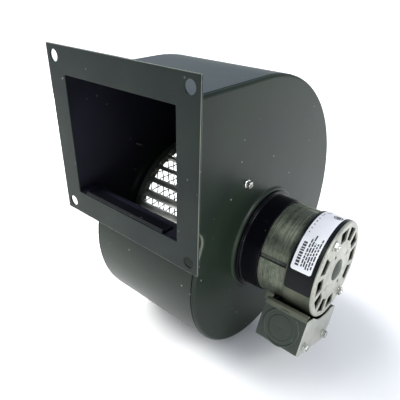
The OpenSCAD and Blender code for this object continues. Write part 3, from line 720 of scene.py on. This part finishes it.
repaint(wrap_sheet, "inside", inside_wrap)


def side_pan(place, hole, hole_levels):
    """Drawn side plate: a spigot inside the wrap, a groove at the seam and a rolled edge."""
    levels = [(-SHEET, 2.5), (-11, 2.5), (-11, 1.3), (-3, 1.3), (-2.85, 0.8), (-2.6, 0.4), (-2.35, 0.2)]
    for k in range(1, 10):
        t = math.radians(20 + 70 * (k - 1) / 8)
        levels.append((-EDGE_R + EDGE_R * math.sin(t), EDGE_R * (1 - math.cos(t))))
    return loft(scroll_outline, [hole], levels, place, hole_levels, open_rows=3)


boss = [(51.4, -SHEET), (51.4, -0.02), (51.4, 0), (51.0, 0.1), (50.6, 0.4), (50.25, 0.85), (49.8, 1.3),
        (49.3, 1.65), (48.7, 1.88), (48.0, 2), (46, 2), (21, 2), (21, 0.8), (49.1, 0.8),
        (49.1, -SHEET)]
boss_hole = circle(51.4, 128, SHAFT_Y, SHAFT_Z, hole=True)
motor_pan = piece(
    "motor_side_pan",
    joined(side_pan(along_x(SIDE_X), boss_hole, [(-SHEET, 0), (0, 0)]),
           lathe(boss, on_shaft(SIDE_X), 128, closed=True)),
    M["housing"], ("motor_side_plate",))


def nose_rim(centre, normal):
    """The rolled edge of the motor side plate beside the cutoff nose."""
    return 0.25 < normal.x < 0.85 and centre.y < 62 and -78 < centre.z < -THROAT_Z


repaint(motor_pan, "inside", lambda c, n: n.x < -0.5 or c.x < SEAM_X - 0.2)
# The rolled edge beside the nose takes the lighter edge paint: partly wear, partly a painted highlight.
repaint(motor_pan, "worn_and_highlight", nose_rim)
inlet_hole = circle(66.2, 96, SHAFT_Y, SHAFT_Z, hole=True)
inlet_pan = piece("inlet_side_pan",
                  side_pan(along_x_mirrored(SIDE_X), inlet_hole, [(-SHEET, 0), (0, 0)]),
                  M["housing"], ("inlet_side_plate",))
repaint(inlet_pan, "inside", lambda c, n: n.x > 0.5 or c.x > 0.2 - SEAM_X)

roll_r, roll_z = 1.6, -47.38
lip = [polar(roll_r, a, roll_r, roll_z) for a in range(90, 271, 15)]
lip += [(11.6, roll_z - roll_r), (11.6, roll_z - 0.6), (1.62, roll_z - 0.6)]
# The cutoff lip is painted near-black as painted shade in the outlet.
piece("cutoff_lip_roll", plate(lip, [], -46.8, 42, along_x(), 0.2), M["roll"],
      ("cutoff_lip",))


def slot(place, w0, w1, half, length):
    return block(place, -length, length, -half, half, w0, w1, 0.02)


def sheet_screw(place, washer_r=3.9, flat_r=2.7, head_h=4.0, shank=(1.9, -9.0)):
    """Slotted hex washer head screw with a threaded shank of (radius, w of its tip)."""
    washer_h = 0.9
    head = cut(hex_head(place, washer_h * 0.5, head_h, flat_r),
               slot(place, head_h - 1.0, head_h + 1, 0.42, 4))
    washer = lathe([(0, 0), (washer_r - 0.1, 0), (washer_r, 0.15), (washer_r, washer_h - 0.35),
                    (washer_r - 0.3, washer_h - 0.08), (flat_r, washer_h), (0, washer_h)], place, 40)
    r, tip = shank
    pitch = 0.9
    thread = [(0, 0.3), (r, 0.3)]
    for k in range(2 * int(-tip / pitch)):
        thread.append((r if k % 2 else r - 0.42, -pitch / 2 * (k + 1)))
    thread += [(r * 0.3, tip), (0, tip)]
    return joined(head, washer, lathe(thread, place, 24))


def on_side(side, y, z):
    """Round (y, z) on the outside of a side plate; side is 1 at the motor and -1 at the inlet."""
    return lambda u, v, w: (side * (SIDE_X + w), y + u, z + v)


# The side screws take the brighter screw finish as a painted highlight.
side_screws = piece(
    "side_screw_pair",
    joined(*[sheet_screw(turned(on_side(*at), 17)) for at in ((-1, 69.8, -25.4), (1, 79.7, -31.5))]),
    M["screw_painted_highlight"], ("side_screws",))
repaint(side_screws, "black_steel_and_painted_shade", lambda c, n: abs(c.x) < SIDE_X - 0.5)

# ---- Inlet ----
bend, inner_r, throat_end = (66.0, 5.0), 5.0, 16.1
ring = [polar(inner_r + 1, a, *bend) for a in range(270, 179, -6)]
ring += [(60, throat_end - 0.4), (60.3, throat_end), (60.7, throat_end), (61, throat_end - 0.4)]
ring += [polar(inner_r, a, *bend) for a in range(180, 271, 6)]
ring += [(COLLAR_R - 0.3, 0), (COLLAR_R, -0.3), (COLLAR_R, -0.7), (COLLAR_R - 0.3, -1)]
piece("inlet_bellmouth", lathe(ring, on_shaft(-SIDE_X), 128, closed=True), M["housing"],
      ("inlet_ring",))


def woven_screen():
    """Plain weave: every wire rises and falls past the wires it crosses."""
    pitch, wire, r = 8.47, SCREEN_WIRE, 69.0
    x_mid = -SIDE_X - 1.03 - wire
    count = int(r / pitch)
    solids = []
    for across in (0, 1):
        for i in range(-count, count + 1):
            half = math.sqrt(r * r - (i * pitch) ** 2)
            n = max(8, int(2 * half / pitch * 6))
            path = []
            for k in range(n + 1):
                s = -half + 2 * half * k / n
                wave = math.cos(math.pi * (s / pitch + i)) * (1 if across else -1)
                lift = 0.5 * wire * wave
                y, z = (i * pitch, s) if across else (s, i * pitch)
                path.append((x_mid + lift, SHAFT_Y + y, SHAFT_Z + z))
            solids.append(tube(path, wire / 2, 8))
    return joined(*solids)


piece("inlet_screen_weave", woven_screen(), M["wire"], ("inlet_screen",), sharp=60)
collar_h = 2 + 2 * SCREEN_WIRE + 0.1
deep = collar_h - 1 - 2 * SCREEN_WIRE - 0.05
collar = rounded([(64, collar_h - 1), (64, collar_h), (COLLAR_R, collar_h), (COLLAR_R, deep), (69.7, deep),
                  (69.7, collar_h - 1)], [0.3, 0.3, 0.7, 0.2, 0.2, 0.2], 4)
piece("screen_collar", lathe([(r, -w) for r, w in collar], on_shaft(-SIDE_X), 128, closed=True),
      M["housing"], ("screen_ring",))


def pan_screw(place, r, h, tip):
    """Slotted pan head screw; the head is towards -w."""
    dome = [(0, -h)] + [(r * math.sin(math.radians(a)) ** 0.8, -h * (0.35 + 0.65 * unit(a)[0]))
                        for a in range(15, 91, 15)] + [(r, -0.1), (r - 0.1, 0), (0, 0)]
    head = cut(lathe(dome, place, 40), slot(place, -h - 1, -h + 0.8, 0.4, r + 1))
    return joined(head, lathe([(0, -0.3), (1.55, -0.3), (1.55, tip - 1), (0.6, tip), (0, tip)], place, 20))


screen_screws = piece(
    "screen_screw_set",
    joined(*[pan_screw(turned(turned(on_shaft(-SIDE_X - collar_h), a, 72.5), slot_turn), 2.9, 1.9, 9.5)
             for a, slot_turn in ((45, 20), (135, 75), (225, 140), (315, 48))]),
    M["screw"], ("screen_screws",))
repaint(screen_screws, "black_steel_and_painted_shade", lambda c, n: abs(c.x) < SIDE_X - 0.5)

# ---- Motor ----
depth = STACK_X0 - 0.1 - FRONT_X
cup = rounded([(12, 2.2), (42.3, 2.2), (42.6, 6), (42.2, depth), (43.8, depth), (44.3, 2.4), (47.5, 2.2),
               (47.5, 0), (12, 0)], [0, 1, 1.5, 0.3, 0.5, 1.4, 0.5, 0.3, 0], 6)
neck = [(7.1, -3), (12, -3), (12, 12), (7.1, 12)]
piece("front_bell_cup", joined(lathe(cup, on_motor(FRONT_X), 128, closed=True),
                               lathe(neck, on_motor(FRONT_X), 64, closed=True)),
      M["gloss"], ("motor_front_bell",))


def stack_outline():
    """Round stack with four deep grooves, each in a shallow hollow."""
    pts = []
    for i in range(360):
        off = (i - TWIST + 45) % 90 - 45
        r = STATOR_R - 0.35 * max(0.0, 1 - (abs(off) / 9.0) ** 2) ** 0.5
        if abs(off) <= 2:
            r = STATOR_R - 1.6
        pts.append(polar(r, i))
    return pts


def laminations():
    """Stack of thin sheets of slightly different size, with the bore and four winding slots."""
    levels, sheets = [], 46
    t = (STACK_X1 - STACK_X0) / sheets
    rng = random.Random(4)
    for i in range(sheets):
        d = rng.uniform(0.0, 0.05)
        levels += [(i * t + 0.02, d + 0.09), (i * t + 0.12, d), ((i + 1) * t - 0.12, d),
                   ((i + 1) * t - 0.02, d + 0.09)]
    bore = circle(22.35, 96, hole=True)
    slots = []
    for a in POLE_ANGLES:
        slots.append([polar(29.2, a + d) for d in range(-24, 25, 6)]
                     + [polar(33.8, a + d) for d in range(30, -31, -6)])
    hole_levels = [(0.02, 0), (STACK_X1 - STACK_X0 - 0.02, 0)]
    return loft(stack_outline(), [bore] + slots, levels, on_motor(STACK_X0), hole_levels)


stack = piece("stator_laminations", laminations(), M["stack"], ("stator_core",), sharp=30)


def in_groove(centre, normal):
    """The floor and sides of the stack's grooves, which are painted dark as the shade in them."""
    from_shaft = math.hypot(centre.y - SHAFT_Y, centre.z - SHAFT_Z)
    return abs(normal.x) < 0.5 and 36 < from_shaft < STATOR_R - 0.7


# The grooves are painted in dark steel: painted shade in the recess.
repaint(stack, "black_steel_and_painted_shade", in_groove)


def spoke(shape, a):
    """A shape drawn along +u, turned to angle a."""
    c, s = unit(a)
    return [(c * u - s * v, s * u + c * v) for u, v in shape]


def rear_bell():
    """End bell in two solids: the face with its vents and rolled corner, and the skirt."""
    face, r_in = BELL_X1 - BELL_X0, BELL_R - BELL_ROUND
    holes = []
    for i in range(12):
        a = 15 + TWIST + 30 * i
        if a in BOLT_ANGLES:
            holes.append(circle(2.1, 20, *polar(BOLT_CIRCLE, a), hole=True))
            continue
        shape = rounded([(27, -5.2), (38.4, -7.6), (38.4, 7.6), (27, 5.2)], 1.1, 4)[::-1]
        holes.append(spoke(shape, a))
    for a in POLE_ANGLES:
        shape = rounded([(17, -1.1), (22, -1.1), (22, 1.1), (17, 1.1)], 0.7, 3)[::-1]
        holes.append(spoke(shape, a + TWIST))
    holes.append(circle(7.05, 48, hole=True))
    wall = [(face - 1.6, 0)] + [(face - 0.5 * (1 - math.sin(t)), 0.5 * (1 - math.cos(t)))
                                for t in (0, 0.5, 1.0, 1.5708)]
    disc = loft(circle(r_in, 128), holes, [(face - 1.6, 0), (face, 0)], on_motor(BELL_X0), wall)
    # The corner takes the place of the disc's own outer wall, which runs between its first two rings.
    keep = [f for f in disc[1] if not (max(f) < 2 * 128 and len(f) == 4)]
    corner = [polar(BELL_ROUND, a, r_in, face - BELL_ROUND) for a in range(90, -1, -10)]
    skirt = corner + [(BELL_R, 12), (BELL_R, 1.2), (BELL_R - 0.15, 0.3), (BELL_R - 0.5, 0), (42.75, 0),
                      (42.6, 0.3), (42.6, face - BELL_ROUND - 0.4)]
    skirt += [polar(0.9, a, r_in, face - BELL_ROUND) for a in range(15, 91, 15)]
    hub = [(7.05, 10.6), (12, 10.6), (12, face - 1.7), (7.05, face - 1.7)]
    split = len(corner)
    return (joined((disc[0], keep), lathe(skirt[:split], on_motor(BELL_X0), 128),
                   lathe(hub, on_motor(BELL_X0), 48, closed=True)),
            lathe(skirt[split - 1:], on_motor(BELL_X0), 128))


bell_end, bell_skirt = rear_bell()
piece("rear_bell_end", bell_end, M["bell"], ("rear_bell",))
# The skirt is painted darker than the end face, as painted shade and painted reflection.
piece("rear_bell_skirt", bell_skirt, M["skirt"])

cap_r, cap_h = 9.8, 2.6
dome_r = (cap_r ** 2 + cap_h ** 2) / (2 * cap_h)
dome = [(0, 0.6), (6.2, 0.6), (6.2, 0), (cap_r - 0.3, 0), (cap_r, 0.2)]
dome += [(dome_r * math.sin(t), cap_h - dome_r + dome_r * math.cos(t))
         for t in [math.asin((cap_r - 0.1) / dome_r) * k / 8 for k in range(8, 0, -1)]] + [(0, cap_h)]
piece("bearing_dome", lathe(dome, on_motor(BELL_X1 + 0.05), 64), M["box"],
      ("rear_bearing_cap",))


def threaded_rod(place, r, w0, w1, thread_from):
    """Rod from w0 to w1 with a thread cut from thread_from to its tip."""
    prof = [(0, w0), (r, w0), (r, thread_from)]
    w, k = thread_from + 0.25, 0
    while w < w1 - 0.5:
        prof.append((r - (0.0 if k % 2 else 0.28), w))
        w, k = w + 0.32, k + 1
    return lathe(prof + [(r - 0.25, w1 - 0.4), (r - 0.6, w1), (0, w1)], place, 28)


bolts, nuts = [], []
for a in BOLT_ANGLES:
    at = turned(on_motor(), a, BOLT_CIRCLE)
    bolts.append(hex_head(at, FRONT_X + 2.3, FRONT_X + 4.7, 3.0))
    bolts.append(threaded_rod(at, 1.95, FRONT_X + 4.6, BELL_X1 + 4, BELL_X1 - 6))
    washer = [(2.1, 0.05), (4.3, 0.05), (4.4, 0.2), (4.4, 0.5), (4.3, 0.65), (2.1, 0.65)]
    nuts.append(lathe([(r, BELL_X1 + w) for r, w in washer], at, 36, closed=True))
    nuts.append(hex_head(turned(at, 10), BELL_X1 + 0.65, BELL_X1 + 3.05, 3.46))
piece("through_bolt_pair", joined(*bolts), M["screw"], ("through_bolts",))
piece("through_bolt_nut_pair", joined(*nuts), M["screw"], ("through_bolt_nuts",))


def wrapped(r, t, a0, a1, x0, x1, corner, rows=4):
    """Thin patch round the motor, with rounded corners: angles a0 to a1, along x0 to x1."""
    place = on_motor()
    length = math.radians(a1 - a0) * r
    stops = [corner * (1 - math.cos(math.radians(t0))) for t0 in range(0, 91, 15)] if corner else [0.0]
    n = max(2, int((length - 2 * corner) / 1.2))
    stops += [corner + (length - 2 * corner) * k / n for k in range(1, n)]
    first = 7 if corner else 1
    stops += [length - s for s in reversed(stops[:first])]
    points, faces = [], []
    for layer in (0, t):
        for s in stops:
            e = min(s, length - s)
            dx = corner - math.sqrt(max(0.0, corner ** 2 - (corner - e) ** 2)) if e < corner else 0
            a = a0 + math.degrees(s / r)
            for k in range(rows + 1):
                x = x0 + dx + (x1 - x0 - 2 * dx) * k / rows
                points.append(place(*polar(r + layer, a), x))
    m, c = len(stops), rows + 1
    for layer in (0, m * c):
        faces += [(layer + i * c + k, layer + (i + 1) * c + k, layer + (i + 1) * c + k + 1,
                   layer + i * c + k + 1) for i in range(m - 1) for k in range(rows)]
    rim = [i * c for i in range(m)] + [(m - 1) * c + k for k in range(1, c)]
    rim += [i * c + rows for i in range(m - 2, -1, -1)] + list(range(rows - 1, 0, -1))
    faces += [(a, b, b + m * c, a + m * c) for a, b in zip(rim, rim[1:] + rim[:1])]
    return points, faces


piece("label_band_film", wrapped(BELL_R + 0.02, FILM, 70, 206.5, BELL_X0 + 1.2, BELL_X1 - BELL_ROUND, 2.2),
      M["band"], ("label_band",))
piece("rating_label_film", wrapped(BELL_R + 0.15, FILM, 76, LABEL_A1, BELL_X0 + 3.2, BELL_X1 - 5.6, 2.0),
      M["label"], ("rating_label",))
PRINT_R, INK = BELL_R + 0.275, 0.02


def print_marks():
    """Plain bars and blocks in place of print, in rows that run round the motor."""
    rng = random.Random(11)
    per_mm = math.degrees(1 / PRINT_R)
    solids = []

    def bar(s0, s1, x0, x1):
        a1 = LABEL_A1 - s0 * per_mm
        solids.append(wrapped(PRINT_R, INK, a1 - (s1 - s0) * per_mm, a1, x0, x1, 0, rows=1))

    def row(s, end, x, h, widths, gaps):
        """Blocks from s to end round the motor, h wide along x."""
        while s < end:
            step = rng.uniform(*widths)
            bar(s, min(s + step, end), x, x + h)
            s += step + rng.uniform(*gaps)

    row(4, 24.5, 113.4, 3.1, (1.3, 2.2), (0.5, 0.8))
    for x in (118.2, 120.2, 122.2, 124.2, 126.2):
        row(3.5 + rng.uniform(0, 1.5), rng.uniform(24, 33), x, 1.2, (1.6, 5.2), (0.6, 0.9))
    row(33, 64, 112.6, 0.9, (0.8, 1.8), (1.6, 4.5))
    row(64, 74, 113.4, 0.8, (1.0, 2.4), (0.6, 1.0))
    row(65, 73, 115.2, 0.8, (1.0, 2.4), (0.6, 1.0))
    return joined(*solids)


piece("label_print_bars", print_marks(), M["ink"])
mark_a, mark_x, mark_r = 101.5, 124.2, 3.9


def on_label(u, v, w):
    """Local (u, v) in mm on the label's surface: u round the motor, v along it."""
    a = mark_a + math.degrees(u / PRINT_R)
    return on_motor()(*polar(PRINT_R + w, a), mark_x + v)


piece("label_print_ring", joined(
    plate(circle(mark_r, 40), [circle(mark_r - 1.1, 40, hole=True)], 0, INK, on_label, 0.005),
    plate(circle(mark_r - 1.7, 32), [], 0, INK, on_label, 0.005)), M["ink"])

# ---- Conduit box, in the motor's own frame ----
BOX_FLOOR = BOX_TOP - BOX_H
COVER_SCREW_Y, COVER_SCREW_Z = 22, -66.4


def folded(path, radii, t, steps=5):
    """Closed outline of a sheet of thickness t that follows an open path, on its left."""
    line = rounded(path, radii, steps, closed=False)
    back_radii = [max(0.3, r - t) if r else 0 for r in radii]
    back = rounded(shift_open(path, t), back_radii, steps, closed=False)
    return line + back[::-1]


def shift_open(path, d):
    out = []
    for i, q in enumerate(path):
        q = Vector(q)
        e0 = q - Vector(path[i - 1]) if i else Vector(path[1]) - q
        e1 = Vector(path[i + 1]) - q if i < len(path) - 1 else e0
        n0, n1 = Vector((-e0.y, e0.x)).normalized(), Vector((-e1.y, e1.x)).normalized()
        m = (n0 + n1).normalized()
        m *= d / m.dot(n0)
        out.append((q.x + m.x, q.y + m.y))
    return out


channel = folded([(-27.5, BOX_TOP), (-BOX_HALF, BOX_TOP), (-BOX_HALF, BOX_FLOOR), (BOX_HALF, BOX_FLOOR),
                  (BOX_HALF, BOX_TOP), (27.5, BOX_TOP)], [0, 1.9, 2.2, 2.2, 1.9, 0], SHEET)
knock_x, knock_z = (BOX_X0 + BOX_X1) / 2, BOX_TOP - BOX_H / 2


def on_front(u, v, w):
    """Round the knockout on the box's front wall, w outwards."""
    return motor_point(knock_x + u, -BOX_HALF - w, knock_z + v)


def on_cover(y):
    """Round a cover screw at y, w outwards."""
    return lambda u, v, w: motor_point(BOX_X1 + 1.1 + w, y + u, COVER_SCREW_Z + v)


def box_arc(r):
    """The hollow top edge of an end of the box, round the motor."""
    return [polar(r, a) for a in range(296, 243, -4)]


channel_solid = cut(plate(channel, [], BOX_X0, BOX_X1, on_motor(), 0.3),
                    lathe([(0, -3), (11.1, -3), (11.1, 3), (0, 3)], on_front, 64))
end_wall = [(-31.5, BOX_TOP - 1), (-31.5, BOX_FLOOR + 1), (31.5, BOX_FLOOR + 1), (31.5, BOX_TOP - 1)]
end_plate = plate(end_wall + box_arc(45), [], BOX_X0 + 0.02, BOX_X0 + 0.02 + SHEET, on_motor(), 0.2)
ears = joined(*[
    block(motor_point, BOX_X1 - 4, BOX_X1 - 0.1, y - 4, y + 4, BOX_FLOOR + SHEET, BOX_FLOOR + SHEET + 9, 0.4)
    for y in (-COVER_SCREW_Y, COVER_SCREW_Y)])
raised_ring = lathe(rounded([(14.6, -0.05), (15.0, 0.5), (16.2, 0.5), (16.7, -0.05)], [0, 0.5, 0.5, 0], 4,
                            closed=False), on_front, 72)
piece("conduit_box_body", joined(channel_solid, end_plate, ears, raised_ring),
      M["box"], ("conduit_box",))
piece("knockout_disc", lathe([(0, -SHEET), (10.9, -SHEET), (10.98, -1.0), (10.98, -0.25), (10.75, -0.02),
                              (6.2, -0.02), (5.6, 0.02), (5.0, -0.05), (1.6, -0.05), (1.2, -0.3), (0, -0.35)],
                             on_front, 64), M["box"], ("knockout_plug",))
cover = rounded([(-BOX_HALF, BOX_TOP), (-BOX_HALF, BOX_FLOOR), (BOX_HALF, BOX_FLOOR), (BOX_HALF, BOX_TOP)],
                [1.2, 1.8, 1.8, 1.2], 4) + box_arc(45.2)
lip_points = [(u - BOX_HALF, v + BOX_TOP) for u, v in ((0.1, -2.4), (0.7, 1.2), (3.2, 2.2), (4.6, 1.0))]
top_lip = plate(folded(lip_points, [0, 1.3, 1.2, 0], 0.8), [], BOX_X0 + 0.4, BOX_X1 - 0.4, on_motor(), 0.25)
# The top lip takes the lighter enamel as painted light on its upward face.
piece("box_top_lip", top_lip, M["lip"])
piece("box_cover_plate", plate(cover, [], BOX_X1 + 0.05, BOX_X1 + 1.05, on_motor(), 0.28), M["cover"],
      ("box_cover",))
piece("cover_screw_pair", joined(*[
    sheet_screw(turned(on_cover(y), turn), washer_r=4.2, flat_r=2.95, head_h=3.6, shank=(1.45, -7.0))
    for y, turn in ((-COVER_SCREW_Y, 24), (COVER_SCREW_Y, 51))]),
      M["screw"], ("cover_screws",))
softened("box_bracket", M["stack"])
softened("bracket_screws", M["screw"])

# ---- Wheel ----
rim = rounded([(62, 0), (73.8, 0), (73.8, 6), (73.1, 6), (73.1, 0.8), (62, 0.8)],
              [0.3, 0.5, 0.3, 0.3, 0.3, 0.3], 3)
# The inlet ring is painted dark as shade, unlike the wheel's galvanised blades.
piece("wheel_rim", lathe(rim, on_shaft(WHEEL_X0), 144, closed=True), M["rim"],
      ("wheel_inlet_ring",), body="rotor")

# ---- Stage, light and camera ----
low = min(cad_box[0].z, cad_box[1].z) / MM - 0.6
floor_half = 60000
floor = bpy.data.objects.new("floor", mesh_from("floor", (
    [(x, y, low) for x, y in rectangle(floor_half, floor_half)], [(0, 1, 2, 3)])))
bpy.context.scene.collection.objects.link(floor)
ground = Look("pale_floor")
ground.colour(ground.ramp(ground.noise(3, 3), [(0.3, (0.93, 0.93, 0.93)), (0.7, (0.97, 0.97, 0.97))]))
ground.rough(ground.noise(40, 2), 0.75, 0.9)
# Far from the lamps the floor glows a little, so that it stays white up to the horizon.
reach = ground.node("ShaderNodeVectorMath", operation="LENGTH")
ground.link(ground.where, reach.inputs[0])
far = ground.node("ShaderNodeMapRange", interpolation_type="SMOOTHSTEP")
ground.link(reach.outputs["Value"], far.inputs["Value"])
far.inputs["From Min"].default_value, far.inputs["From Max"].default_value = 0.6, 1.3
far.inputs["To Max"].default_value = 0.32
ground.link(far.outputs["Result"], ground.shader.inputs["Emission Strength"])
ground.put(ground.shader.inputs["Emission Color"], (1, 1, 0.97, 1))
floor.data.materials.append(ground.material)

world = bpy.data.worlds.new("studio")
bpy.context.scene.world = world
bpy.context.scene.view_settings.view_transform = "Standard"
world.use_nodes = True
sky = world.node_tree
height = sky.nodes.new("ShaderNodeSeparateXYZ")
sky.links.new(sky.nodes.new("ShaderNodeTexCoord").outputs["Generated"], height.inputs[0])
fade = sky.nodes.new("ShaderNodeValToRGB")
fade.color_ramp.elements.new(0.5)
heights = ((0.0, (1.2, 1.2, 1.2)), (0.22, (0.62, 0.65, 0.68)), (0.7, (0.50, 0.56, 0.70)))
for stop, (at, colour) in zip(fade.color_ramp.elements, heights):
    stop.position, stop.color = at, (*colour, 1)
sky.links.new(height.outputs["Z"], fade.inputs["Fac"])
sky.links.new(fade.outputs["Color"], sky.nodes["Background"].inputs["Color"])
sky.nodes["Background"].inputs["Strength"].default_value = 0.7


def area(name, at, target, size, power, colour):
    data = bpy.data.lights.new(name, "AREA")
    data.shape, data.size, data.size_y = "RECTANGLE", size[0], size[1]
    data.energy, data.color = power, colour
    obj = bpy.data.objects.new(name, data)
    bpy.context.scene.collection.objects.link(obj)
    obj.location = at
    obj.rotation_euler = (Vector(target) - Vector(at)).to_track_quat("-Z", "Y").to_euler()


middle = (0.03, 0.1, -0.07)
area("key_light", (-1.1, -0.75, 1.5), middle, (0.6, 0.6), 15, (1.0, 0.99, 0.96))
area("back_left_light", (-1.3, 1.6, 1.0), middle, (1.6, 1.0), 3.2, (0.42, 0.60, 1.0))
area("stack_light", (-1.08, 0.5, 1.53), (0.1, 0.12, -0.08), (0.45, 0.45), 17, (1.0, 1.0, 0.97))
area("low_right_light", (1.0, -0.3, -0.12), (0.13, 0.12, -0.11), (0.3, 0.2), 1.9, (1.0, 1.0, 0.98))
area("right_light", (1.3, 0.1, 0.7), middle, (0.6, 0.7), 12, (1.0, 1.0, 0.98))
sun = bpy.data.objects.new("wide_soft_light", bpy.data.lights.new("wide_soft_light", "SUN"))
sun.data.energy, sun.data.angle = 1.7, math.radians(40)
sun.rotation_euler = Vector((-0.5, -0.42, 0.76)).to_track_quat("Z", "Y").to_euler()
bpy.context.scene.collection.objects.link(sun)
area("inlet_light", (-0.9, 0.25, 0.05), (-0.06, 0.115, -0.1), (0.5, 0.5), 9, (1.0, 0.98, 0.9))

view_az, view_el, view_roll = math.radians(39.51), math.radians(28.92), math.radians(1.36)
back = Vector((math.sin(view_az) * math.cos(view_el), -math.cos(view_az) * math.cos(view_el),
               math.sin(view_el)))
right = Vector((math.cos(view_az), math.sin(view_az), 0))
up = back.cross(right)
rolled_right = math.cos(view_roll) * right + math.sin(view_roll) * up
rolled_up = -math.sin(view_roll) * right + math.cos(view_roll) * up
camera_data = bpy.data.cameras.new("camera")
camera_data.sensor_width, camera_data.lens = 36.0, 37.56
camera = bpy.data.objects.new("camera", camera_data)
bpy.context.scene.collection.objects.link(camera)
turn = Matrix((rolled_right, rolled_up, back)).transposed().to_4x4()
flange_width = 2 * FLANGE_X * MM
camera.matrix_world = Matrix.Translation(flange_width * Vector((1.4674, -1.1670, 0.7860))) @ turn
bpy.context.scene.camera = camera
